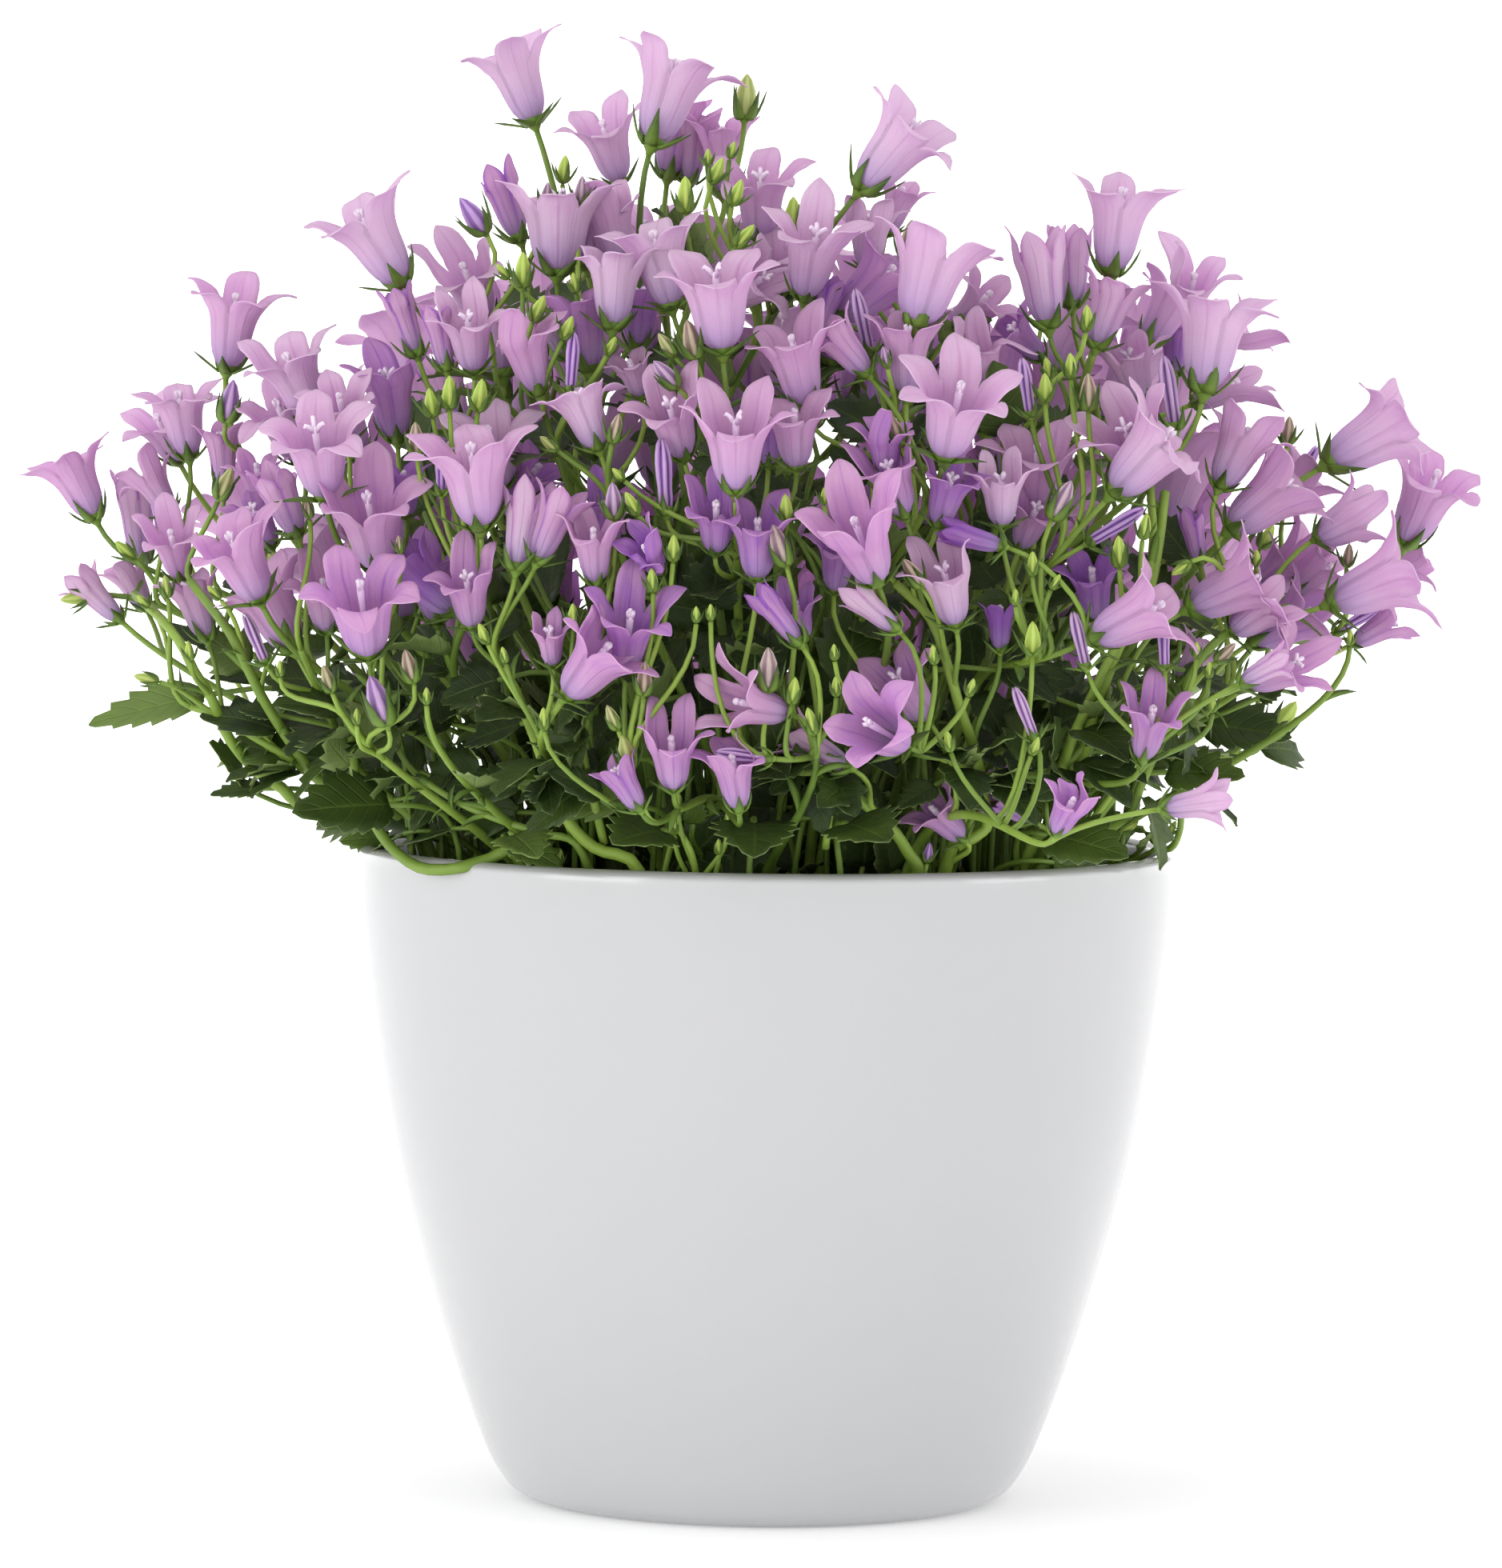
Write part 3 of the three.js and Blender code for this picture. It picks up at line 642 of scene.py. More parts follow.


# %% [markdown]
# ## Where the flowers are
# Each row is one flower as the photograph shows it: the pixel of its base and of its mouth, how
# far it leans towards the viewer (the part of its axis that points out of the picture), the
# layer it lies in, its tone from pale to deep, how wide its tube is, how far its lobes are
# open, and the pixels of the lobe tips that can be seen. The tone is read off with the shade that
# falls on the flower, so a deep tone is partly its own violet and partly painted shade. All but
# the layer are in per cent. Its size follows from its length. A layer below 0 lies in front of
# the mound, or past the rim.

# %% The flowers in the photograph
BELLS = [
    # The crown of the mound, from left to right.
    ((668, 159), (639, 79), -5, 0, 5, 62, 100, (575, 77), (639, 47), (675, 37)),
    ((813, 187), (846, 84), -10, 0, 15, 72, 100, (804, 39), (885, 81), (935, 110)),
    ((774, 229), (756, 165), 25, 0, 25, 70, 100, (713, 140), (777, 112), (810, 128)),
    ((861, 239), (866, 163), 10, 1, 35, 60, 60, (853, 137)),
    ((905, 245), (903, 175), 10, 2, 40, 60, 70),
    ((950, 300), (950, 230), 30, 1, 35, 80, 100, (965, 185), (990, 235), (905, 250)),
    ((834, 224), (845, 150), 0, 1, 50, 55, 60),
    ((654, 311), (626, 232), 0, 0, 60, 60, 30, (600, 228), (611, 213), (637, 202)),
    ((696, 342), (698, 257), -5, 0, 10, 135, 100, (644, 248), (754, 244)),
    ((735, 338), (738, 270), 0, 1, 30, 60, 30),
    ((775, 335), (757, 268), 0, 1, 30, 90, 100, (733, 228), (775, 225), (795, 250)),
    ((1072, 242), (1127, 177), 10, 0, 5, 62, 100, (1090, 109), (1122, 108), (1192, 166), (1188, 214)),
    ((1105, 300), (1125, 245), 10, 1, 30, 70, 80, (1145, 228)),
    ((1085, 335), (1086, 282), 0, 1, 30, 90, 100, (1060, 245), (1112, 250)),
    ((1387, 348), (1400, 259), 5, 0, 15, 62, 100, (1339, 216), (1398, 215), (1471, 240)),
    ((1483, 390), (1490, 354), 45, 1, 20, 80, 100, (1447, 289), (1478, 292), (1554, 350)),
    ((1503, 496), (1521, 385), -10, 0, 10, 78, 100, (1596, 376), (1599, 397), (1475, 375)),
    ((1434, 432), (1465, 376), -20, 1, 40, 80, 100),
    ((1367, 445), (1390, 372), -10, 0, 30, 85, 70, (1362, 345), (1385, 347), (1423, 362)),
    ((1425, 500), (1412, 450), 10, 1, 30, 80, 100, (1380, 427), (1423, 412), (1362, 438)),
    ((1425, 590), (1408, 543), 60, 0, 20, 85, 100, (1383, 476), (1456, 479), (1328, 525), (1348, 561)),
    ((1500, 500), (1537, 481), 10, 1, 30, 90, 100, (1595, 490), (1577, 463), (1608, 517)),
    ((1500, 430), (1545, 416), 0, 2, 40, 70, 100, (1612, 430), (1590, 440)),
    ((1469, 537), (1454, 449), 0, 0, 30, 45, 0),
    ((1470, 470), (1470, 420), 0, 2, 85, 90, 80),
    ((1312, 423), (1299, 325), 0, 0, 10, 90, 45, (1254, 282), (1283, 289), (1297, 300)),
    ((1340, 385), (1338, 313), 0, 1, 20, 85, 40),
    ((1205, 400), (1230, 374), 30, 2, 30, 90, 100, (1261, 347)),
    ((1308, 454), (1270, 415), 20, 2, 80, 60, 100, (1248, 402)),
    # The left shoulder.
    ((505, 361), (462, 288), 10, 0, 10, 72, 100, (450, 244), (379, 285), (500, 228)),
    ((606, 400), (582, 342), 50, 1, 15, 90, 100, (508, 309), (545, 282), (610, 296), (632, 342)),
    ((592, 465), (585, 405), 30, 0, 20, 90, 100, (543, 362), (592, 345), (642, 392)),
    ((524, 454), (501, 385), 0, 0, 40, 40, 30, (484, 366), (505, 360)),
    ((560, 472), (547, 405), 0, 0, 40, 40, 30, (540, 385), (560, 382)),
    ((676, 502), (655, 425), 25, 0, 45, 65, 100, (643, 398), (710, 389), (642, 380), (628, 434)),
    ((672, 440), (660, 405), 20, 1, 40, 80, 100),
    ((713, 490), (716, 418), 0, 0, 70, 35, 0),
    ((496, 550), (485, 478), 10, 1, 62, 80, 80, (459, 422), (501, 460)),
    ((435, 560), (425, 503), 50, 0, 20, 90, 100, (407, 462), (465, 460)),
    ((765, 413), (769, 336), -15, 0, 5, 65, 100, (727, 309), (805, 319), (718, 323)),
    ((838, 380), (820, 307), 10, 0, 15, 80, 100, (767, 300), (825, 275), (863, 282)),
    ((903, 446), (896, 366), 20, 0, 30, 100, 100, (838, 313), (947, 311), (816, 347), (976, 331)),
    ((920, 370), (950, 350), 40, 1, 25, 90, 100, (1005, 349), (983, 400), (950, 291)),
    ((965, 360), (961, 322), 40, 2, 30, 90, 100, (968, 284)),
    ((1008, 360), (1019, 300), 30, 0, 15, 90, 100, (1025, 222), (975, 300), (1075, 290)),
    ((1006, 503), (992, 436), 10, 0, 35, 80, 100, (945, 409), (1028, 373), (930, 436)),
    ((1019, 423), (1035, 369), 0, 1, 75, 50, 40),
    ((738, 465), (727, 392), 0, 1, 75, 70, 80),
    ((796, 436), (800, 374), 0, 2, 80, 80, 80),
    ((803, 503), (789, 459), 20, 1, 30, 90, 100, (756, 450), (816, 441)),
    ((851, 562), (838, 513), 45, 0, 35, 80, 100, (812, 456), (872, 450), (771, 513), (872, 494)),
    ((920, 599), (920, 520), 20, 0, 40, 100, 100, (874, 472), (961, 470), (847, 508)),
    ((996, 596), (993, 525), 25, 0, 35, 90, 100, (963, 499), (1040, 485), (930, 503), (1050, 521)),
    ((752, 572), (725, 503), -10, 0, 10, 70, 100, (703, 493), (745, 479), (686, 503), (783, 484)),
    ((1143, 414), (1170, 320), -10, 0, 15, 120, 100, (1254, 327), (1154, 280)),
    ((1048, 400), (1105, 345), 0, 1, 70, 90, 100),
    ((1091, 476), (1045, 423), 0, 0, 45, 70, 70, (1042, 402), (1018, 443)),
    ((1087, 443), (1069, 365), 0, 0, 35, 40, 10),
    ((1179, 560), (1192, 499), 55, 0, 20, 95, 100, (1194, 416), (1279, 470), (1122, 445), (1123, 499),
     (1256, 523)),
    ((1235, 480), (1223, 445), 20, 1, 25, 90, 100, (1221, 383), (1196, 385), (1299, 445)),
    ((1132, 494), (1134, 423), 10, 0, 40, 80, 80),
    ((1108, 602), (1106, 547), 30, 0, 70, 95, 100, (1080, 522), (1108, 515), (1140, 530)),
    ((1288, 521), (1277, 451), 0, 0, 50, 35, 0),
    # The left flank.
    ((119, 654), (86, 587), -5, 0, 35, 75, 100, (34, 586), (79, 569), (129, 557)),
    ((238, 583), (225, 505), 10, 0, 10, 70, 100, (220, 480), (262, 500), (162, 493)),
    ((215, 560), (200, 530), 40, 1, 15, 80, 100, (153, 553), (278, 496)),
    ((212, 640), (188, 600), -10, 0, 35, 70, 100, (184, 554), (142, 596), (150, 622)),
    ((197, 641), (191, 602), 0, 0, 60, 40, 0),
    ((226, 722), (215, 674), 45, 0, 30, 75, 100, (204, 616), (253, 632), (164, 646)),
    ((177, 705), (170, 623), 0, 1, 10, 45, 30),
    ((325, 753), (302, 699), 45, 0, 40, 80, 100, (302, 634), (244, 672), (244, 710), (327, 652)),
    ((280, 618), (278, 554), 0, 1, 40, 55, 70, (275, 525), (304, 528), (258, 540)),
    ((338, 681), (318, 641), 30, 1, 70, 80, 90),
    ((376, 679), (346, 607), 10, 0, 30, 95, 40, (325, 599), (349, 586), (369, 590)),
    ((150, 775), (112, 737), -10, 0, 10, 35, 60, (101, 704), (80, 721)),
    ((186, 768), (160, 718), 0, 1, 10, 70, 90, (144, 705), (173, 707)),
    ((260, 801), (240, 740), 0, 1, 15, 70, 80),
    ((286, 468), (297, 382), 10, 0, 35, 62, 100, (234, 348), (309, 340), (372, 373)),
    ((390, 520), (363, 458), 20, 0, 10, 80, 100, (296, 429), (362, 415), (398, 442)),
    ((370, 565), (350, 514), 30, 1, 20, 95, 100, (338, 468), (293, 509), (300, 556)),
    ((330, 640), (322, 590), 20, 1, 50, 80, 100, (298, 560), (345, 565)),
    ((407, 625), (400, 567), 55, 0, 20, 90, 100, (396, 487), (470, 507), (322, 536), (452, 572)),
    ((472, 697), (461, 634), 50, 0, 40, 90, 100, (470, 552), (389, 581), (543, 605), (405, 643),
     (508, 645)),
    ((601, 665), (592, 583), 30, 0, 25, 105, 100, (581, 531), (504, 576), (624, 554)),
    ((627, 605), (613, 548), 50, 1, 15, 85, 100, (621, 498), (548, 520), (683, 516)),
    ((552, 619), (550, 551), 0, 0, 80, 38, 10),
    ((508, 643), (505, 600), 10, 1, 85, 80, 80),
    ((408, 785), (404, 736), 40, 1, 45, 80, 100, (379, 680), (352, 736)),
    ((461, 824), (455, 758), 55, 0, 55, 95, 100, (419, 682), (504, 694), (372, 748), (525, 752),
     (457, 794)),
    ((589, 772), (584, 729), 40, 0, 50, 80, 100, (580, 662), (621, 678), (528, 725), (613, 717)),
    ((833, 643), (826, 552), 0, 0, 60, 38, 10),
    ((366, 810), (332, 745), -10, 1, 30, 90, 100, (267, 760), (352, 686), (300, 700)),
    ((327, 817), (306, 770), 0, 0, 20, 40, 10),
    ((571, 765), (515, 715), 0, 1, 80, 80, 80),
    ((545, 772), (537, 714), 10, 2, 70, 80, 90, (526, 658)),
    # The middle.
    ((894, 681), (895, 639), 50, 0, 75, 80, 100, (855, 594), (893, 581), (859, 648), (927, 599)),
    ((645, 711), (655, 640), -10, 0, 10, 45, 45, (656, 592), (636, 618)),
    ((672, 700), (697, 640), 0, 0, 30, 50, 60, (703, 609), (735, 616)),
    ((745, 734), (742, 673), 27, 0, 35, 70, 100, (718, 630), (783, 637), (692, 643), (788, 652)),
    ((760, 690), (756, 640), 10, 1, 75, 80, 90, (743, 581)),
    ((822, 712), (808, 688), 70, 0, 85, 70, 90, (785, 648), (812, 639), (821, 661), (834, 718)),
    ((783, 825), (787, 778), 50, 0, 65, 75, 100, (791, 697), (729, 736), (859, 736), (839, 796),
     (756, 785)),
    ((649, 610), (667, 590), 20, 2, 80, 90, 100, (705, 590)),
    ((960, 581), (960, 535), 10, 1, 80, 80, 90),
    ((1097, 706), (1079, 657), 60, 0, 45, 85, 100, (1048, 574), (1128, 585), (992, 643), (1027, 672),
     (1121, 634)),
    ((1130, 641), (1112, 590), 20, 0, 60, 75, 100, (1099, 545), (1141, 545), (1048, 556)),
    ((946, 720), (947, 663), 20, 0, 75, 85, 100, (918, 621), (985, 612), (896, 650)),
    ((1043, 737), (1050, 690), 30, 1, 75, 80, 100),
    ((1174, 650), (1187, 605), 20, 0, 75, 85, 100, (1147, 565), (1194, 556)),
    ((1252, 668), (1251, 605), 15, 0, 10, 95, 100, (1227, 563), (1270, 558), (1203, 592), (1299, 586)),
    ((1294, 643), (1296, 572), 30, 1, 35, 90, 100, (1254, 530), (1328, 525), (1216, 556)),
    ((1276, 681), (1293, 640), 40, 1, 50, 80, 100),
    # The right shoulder and flank.
    ((1386, 621), (1432, 572), 10, 0, 12, 85, 100, (1448, 527), (1470, 581), (1500, 605)),
    ((1359, 679), (1426, 637), 0, 0, 90, 40, 10),
    ((1254, 683), (1200, 668), 10, 0, 85, 50, 20),
    ((1192, 772), (1181, 720), 30, 0, 15, 75, 100, (1133, 672), (1187, 659), (1213, 674)),
    ((1525, 607), (1554, 549), -10, 0, 35, 85, 100, (1538, 498), (1605, 522)),
    ((1532, 665), (1601, 612), 0, 0, 35, 85, 100, (1601, 558), (1654, 632)),
    ((1575, 655), (1628, 598), 0, 1, 35, 80, 100, (1640, 572), (1660, 612)),
    ((1575, 738), (1632, 697), 0, 2, 30, 80, 100, (1668, 662), (1685, 706)),
    ((1651, 583), (1732, 537), -15, 0, 15, 75, 100, (1742, 479), (1697, 479), (1778, 561), (1778, 595)),
    ((1619, 607), (1645, 560), 0, 1, 85, 50, 10),
    ((1637, 678), (1697, 645), 10, -1, 10, 135, 100, (1715, 609), (1733, 616), (1672, 670)),
    ((1657, 742), (1728, 712), -5, 0, 30, 80, 100, (1743, 670), (1775, 729), (1776, 759)),
    ((1474, 767), (1558, 728), 0, 0, 40, 80, 100, (1552, 684)),
    ((1501, 712), (1490, 655), 10, 1, 50, 60, 30, (1480, 632), (1502, 642)),
    ((1560, 740), (1600, 710), 0, 2, 60, 90, 100),
    ((1359, 778), (1417, 749), 10, 0, 35, 75, 100, (1427, 690), (1467, 740), (1465, 796)),
    ((1250, 800), (1250, 768), 0, 1, 85, 60, 70),
    ((1358, 836), (1341, 768), 0, 0, 25, 40, 10),
    ((1370, 770), (1365, 722), 40, 1, 80, 80, 90),
    ((1455, 829), (1452, 771), 0, 0, 50, 40, 10),
    ((1534, 794), (1583, 758), 15, 0, 35, 110, 100, (1572, 707), (1603, 720), (1635, 768), (1603, 801)),
    ((1542, 858), (1593, 830), 0, -1, 5, 60, 35, (1608, 812), (1618, 832), (1616, 847)),
    ((1570, 850), (1613, 830), 35, 0, 35, 95, 100, (1677, 799), (1665, 864), (1600, 784)),
    ((1570, 800), (1625, 770), 10, 1, 50, 80, 100, (1665, 745), (1660, 790)),
    ((1677, 786), (1723, 758), 0, 0, 60, 40, 10),
    ((1692, 804), (1733, 781), 0, 0, 40, 60, 80, (1775, 796)),
    ((1758, 686), (1788, 614), 30, 0, 35, 72, 100, (1774, 551), (1849, 595), (1846, 634)),
    ((1743, 710), (1765, 703), 0, 1, 40, 80, 100, (1777, 689), (1788, 706)),
    ((1625, 735), (1655, 712), 10, 1, 35, 80, 100),
    ((1475, 850), (1500, 815), 0, 2, 10, 80, 90),
    # The lower front, where single flowers stand out from the leaves.
    ((705, 874), (741, 830), 35, 0, 40, 100, 100, (747, 752), (703, 774), (799, 803), (786, 841)),
    ((691, 834), (687, 794), 30, 0, 50, 80, 90, (665, 765), (696, 758), (666, 792)),
    ((968, 888), (930, 879), 35, 0, 35, 95, 100, (899, 802), (868, 845), (866, 914), (912, 916),
     (948, 839)),
    ((841, 971), (839, 933), 30, 0, 50, 95, 100, (812, 871), (863, 867), (796, 910)),
    ((922, 1003), (916, 956), 30, 0, 50, 60, 100, (891, 921), (921, 912), (888, 946)),
    ((962, 948), (897, 941), 0, 0, 30, 35, 10),
    ((998, 803), (962, 757), 0, 0, 65, 30, 25, (946, 728), (955, 722)),
    ((1005, 800), (995, 760), 40, 1, 75, 80, 100, (974, 720), (1014, 726), (1028, 747)),
    ((1123, 789), (1080, 752), -5, 0, 10, 40, 50, (1070, 718), (1047, 736), (1048, 758)),
    ((1287, 908), (1268, 862), 0, 0, 20, 40, 10),
    ((1157, 896), (1125, 852), 40, 1, 45, 85, 100, (1130, 799), (1071, 825)),
    ((1132, 930), (1108, 914), 75, 0, 50, 80, 100, (1063, 838), (1142, 852), (1143, 917), (1070, 961),
     (1028, 908)),
    ((1061, 959), (1006, 927), 0, 1, 25, 30, 50, (992, 894), (969, 928)),
    ((1432, 930), (1439, 896), 40, 0, 55, 70, 100, (1443, 832), (1399, 852), (1491, 867), (1400, 888)),
    ((1323, 1034), (1338, 1006), 35, -1.6, 60, 90, 100, (1324, 973), (1354, 965), (1376, 998)),
    ((1454, 1011), (1505, 1003), -5, -2, 2, 55, 80, (1537, 973), (1540, 1000), (1532, 1040)),
    ((801, 1014), (775, 970), 0, 0, 50, 80, 70, (765, 943), (783, 943), (751, 966)),
    ((1190, 1035), (1170, 1015), 30, 1, 60, 80, 100),
    ((1268, 1010), (1250, 998), 30, 1, 60, 50, 80),
]

# Buds: the pixels of the base and the tip, then, where they aren't 0, the tone from lime green
# through brown (50) to purple (100), and the layer.
BUDS = [
    ((900, 148), (903, 89), 15), ((703, 229), (707, 193)), ((857, 267), (856, 219)),
    ((915, 257), (927, 223)), ((889, 229), (904, 196)), ((884, 208), (885, 185)),
    ((912, 198), (918, 176)), ((682, 262), (685, 227), 70), ((725, 255), (728, 219), 70),
    ((562, 512), (562, 468)), ((541, 522), (536, 484)), ((597, 515), (603, 472)),
    ((113, 745), (75, 750), 10), ((168, 698), (144, 676)), ((186, 759), (171, 743)),
    ((210, 747), (206, 718), 10), ((275, 749), (259, 731)), ((238, 825), (235, 800)),
    ((198, 852), (167, 844), 10), ((517, 854), (506, 810), 50), ((415, 865), (404, 830), 40),
    ((484, 908), (462, 841), 90), ((609, 804), (598, 778)), ((632, 828), (628, 810)),
    ((533, 880), (533, 858)), ((446, 905), (446, 886)), ((350, 845), (350, 826)),
    ((716, 783), (716, 753)), ((680, 912), (679, 883)), ((816, 740), (814, 709)),
    ((841, 702), (842, 667)), ((870, 778), (870, 757)), ((888, 775), (888, 755)),
    ((797, 643), (781, 614)), ((983, 652), (981, 616)), ((1030, 630), (1030, 608)),
    ((804, 870), (806, 825), 50), ((772, 912), (758, 880), 30), ((696, 563), (674, 545), 20),
    ((765, 554), (774, 516), 50), ((779, 600), (765, 585)), ((1306, 503), (1305, 465)),
    ((1338, 473), (1337, 440)), ((1399, 710), (1397, 668)), ((1290, 719), (1290, 688)),
    ((1269, 756), (1269, 735)), ((1314, 736), (1325, 717)), ((1290, 820), (1290, 775)),
    ((1045, 870), (1044, 844)), ((1043, 825), (1042, 805)), ((989, 880), (994, 845)),
    ((960, 865), (960, 807), 60), ((1017, 918), (1009, 883)), ((1210, 870), (1217, 847)),
    ((1168, 830), (1165, 805)), ((1188, 939), (1182, 912)), ((1289, 943), (1298, 920)),
    ((1307, 1002), (1307, 975)), ((1608, 557), (1611, 519), 50), ((1519, 827), (1544, 803), 50),
    ((1495, 822), (1495, 802)), ((1511, 847), (1511, 827)), ((1515, 890), (1515, 870)),
    ((1687, 806), (1687, 786)), ((1570, 707), (1570, 687)), ((1400, 1040), (1423, 1026)),
    ((1458, 1045), (1470, 1025)), ((843, 1042), (843, 1020)), ((848, 1012), (848, 990)),
    ((653, 360), (654, 314)), ((666, 402), (681, 368)), ((703, 424), (716, 394)),
    ((636, 348), (620, 330)), ((720, 366), (716, 340), 0, 0.5), ((759, 443), (770, 420), 0, 0.5),
    ((1312, 474), (1306, 446), 0, 0.5), ((1357, 414), (1358, 380)), ((1428, 674), (1433, 640)),
    ((898, 1068), (898, 1048)), ((909, 1036), (909, 1014)), ((608, 293), (574, 246), 100),
    ((521, 570), (519, 526), 50), ((500, 691), (498, 668), 50), ((387, 648), (384, 622), 50),
    ((847, 485), (816, 450), 80), ((870, 450), (858, 398), 50), ((843, 445), (822, 416), 30),
    ((920, 309), (943, 280)), ((1109, 459), (1103, 432), 80), ((1360, 514), (1359, 465), 50),
    ((273, 625), (291, 583), 30), ((282, 529), (293, 473), 90), ((768, 650), (765, 601), 80),
    ((1126, 558), (1112, 518), 50), ((983, 708), (965, 654), 60), ((1152, 734), (1127, 697), 50),
    ((1314, 650), (1339, 599), 70), ((1683, 709), (1686, 678), 50), ((1487, 703), (1463, 719)),
    ((1360, 514), (1359, 470), 50, 1), ((700, 1080), (700, 1060)), ((1158, 1078), (1162, 1052), 100),
]
print(len(BELLS), "flowers and", len(BUDS), "buds read from the photograph")

# %% [markdown]
# ## The shape of a bell
# A bell is five petals grown together: a tube that is round at the base and flares at its
# mouth, then five free lobes that curl outwards. All the bells are worked out at once. The
# tube is a grid round the axis. Each lobe is a strip across a centre line that leaves the
# mouth nearly straight and bends out to its tip, and it shares its first row with the tube.

# %% The bell as a surface
PETALS = 5
PETAL_TURN = 2 * np.pi / PETALS
BELL_LENGTH = 11.0
TUBE_LENGTH = 9.7
MOUTH_HEIGHT = 10.3
RIM_RADIUS = 4.4
# The steps up the tube, those along a lobe, and the columns across a petal.
FINE_BELL = (
    np.array([0.02, 0.06, 0.14, 0.26, 0.4, 0.55, 0.7, 0.82, 0.92, 1.0]),
    np.array([0.1, 0.22, 0.36, 0.5, 0.64, 0.77, 0.88, 0.95, 0.985]),
    6,
)
PLAIN_BELL = (np.array([0.02, 0.12, 0.35, 0.65, 0.88, 1.0]), np.array([0.2, 0.45, 0.7, 0.88, 0.98]), 4)


def bell_faces(tube_rows, lobe_rows, columns):
    """The quads of the tube, then of each lobe, whose first row is the tube's last."""
    around = PETALS * columns
    faces = [grid_faces(tube_rows, around, closed=True)]
    own = tube_rows * around + np.arange(PETALS * lobe_rows * (columns + 1))
    own = own.reshape(PETALS, lobe_rows, columns + 1)
    for lobe in range(PETALS):
        mouth = (lobe * columns + np.arange(columns + 1)) % around + (tube_rows - 1) * around
        strip = np.vstack([mouth, own[lobe]])
        faces.append(strip.ravel()[grid_faces(lobe_rows + 1, columns + 1)])
    return np.concatenate(faces)


def around(axis, angle):
    """Directions square to each axis, at angles (copies, ...) from the one nearest the viewer:
    cos(angle) * front + sin(angle) * side."""
    front = square_to(np.broadcast_to([0.0, -1.0, 0.0], axis.shape), axis)
    steps = (slice(None), *[None] * (angle.ndim - 1))
    side = np.cross(axis, front)[steps]
    return np.cos(angle)[..., None] * front[steps] + np.sin(angle)[..., None] * side


def lobe_tips(base, axis, size, phase, opening):
    """Where the five tips lie before any is moved: outwards by 1.2 + 8.3 opening, and up by the
    bell's length + 4.2 - 1.8 opening^2, both times the size."""
    out = around(axis, phase[:, None] + np.arange(PETALS) * PETAL_TURN)
    reach = (1.2 + 8.3 * opening)[:, None, None] * size[:, None, None]
    height = (BELL_LENGTH + 4.2 - 1.8 * opening**2)[:, None, None] * size[:, None, None]
    return base[:, None] + out * reach + axis[:, None] * height


# %% The tube and the lobes
def bell_tubes(bells, t, columns):
    """Radius = girth * ((3.2 + 0.35 t) sqrt(1 - (1-t)^4) + 0.85 t^5), less at the creases and
    in a bell that is hardly open, at a height from 0.9 to the tube's length."""
    axis = bells["axis"]
    petal = np.arange(PETALS * columns) / columns
    out = around(axis, bells["phase"][:, None] + (petal - 0.5) * PETAL_TURN)
    crease = 0.5 + 0.5 * np.cos(2 * np.pi * petal)
    radius = (3.2 + 0.35 * t) * np.sqrt(1 - (1 - t) ** 4) + (RIM_RADIUS - 3.55) * t**5
    radius = radius[:, None] * (1 - 0.07 * crease * (t**0.5)[:, None])
    radius = radius[None] * bells["girth"][:, None, None]
    squeeze = 1 - (1 - bells["opening"])[:, None] * (0.3 + 0.1 * t**2)
    radius = radius * squeeze[..., None]
    height = 0.9 + (TUBE_LENGTH - 0.9) * t
    tube = out[:, None] * radius[..., None] + axis[:, None, None] * height[:, None, None]
    return bells["base"][:, None, None] + tube * bells["size"][:, None, None, None]


def lobe_lines(bells, rim, w):
    """A lobe's centre line is a cubic that leaves the mouth along the flare and arrives at the
    tip outwards and downwards. With it come the directions across the lobe and out of it."""
    base, axis, opening = bells["base"][:, None], bells["axis"][:, None], bells["opening"]
    out = around(bells["axis"], bells["phase"][:, None] + np.arange(PETALS) * PETAL_TURN)
    mouth = base + (axis * TUBE_LENGTH + out * rim) * bells["size"][:, None, None]
    tip = bells["tips"]
    leave = unit(axis + out * (0.5 * opening - 0.05)[:, None, None])
    curl = (bells["curl"] * opening)[:, None, None]
    reach = norm(tip - mouth, axis=-1, keepdims=True)
    arrive = unit(axis * np.cos(curl) + out * np.sin(curl) + (tip - mouth) / reach * 0.5)
    a, b = mouth[:, :, None], (mouth + leave * reach * 0.45)[:, :, None]
    c, d = (tip - arrive * reach * 0.42)[:, :, None], tip[:, :, None]
    w = w[:, None]
    tangent = unit((1 - w) ** 2 * (b - a) + 2 * w * (1 - w) * (c - b) + w * w * (d - c))
    across = np.cross(axis, out)[:, :, None]
    lateral = square_to(np.broadcast_to(across, tangent.shape), tangent)
    return bezier(a, b, c, d, w), lateral, np.cross(lateral, tangent)


def bell_lobes(bells, w, columns):
    """Strips across the centre lines. Half width = sector (1-w)^7 + 2.65 times an egg shape
    that is widest at w = 0.45. A strip is cupped at the mouth, flat at the tip and wavy."""
    rim = RIM_RADIUS * (bells["girth"] * (1 - 0.4 * (1 - bells["opening"])))[:, None, None]
    centre, lateral, facing = lobe_lines(bells, rim, w)
    wide = ((2.65 + bells["lobe_width"]) * (0.6 + 0.4 * bells["opening"]))[:, None, None]
    start = rim * np.sin(np.pi / PETALS)
    egg = (w / 0.45) ** 0.65 * ((1 - w) / 0.55) ** 0.9
    half = ((start * (1 - w) ** 7 + wide * egg) * bells["size"][:, None, None])[..., None]
    across = np.linspace(-1, 1, columns + 1)
    cup = (0.325 - 0.35 * w)[:, None] * across**2
    wave = np.sin(w[:, None] * 7 + bells["wave"][:, :, None, None]) * 0.15 * across * w[:, None]
    strip = centre[..., None, :] + lateral[..., None, :] * (half * across)[..., None]
    return strip - facing[..., None, :] * (half * (cup + wave))[..., None]


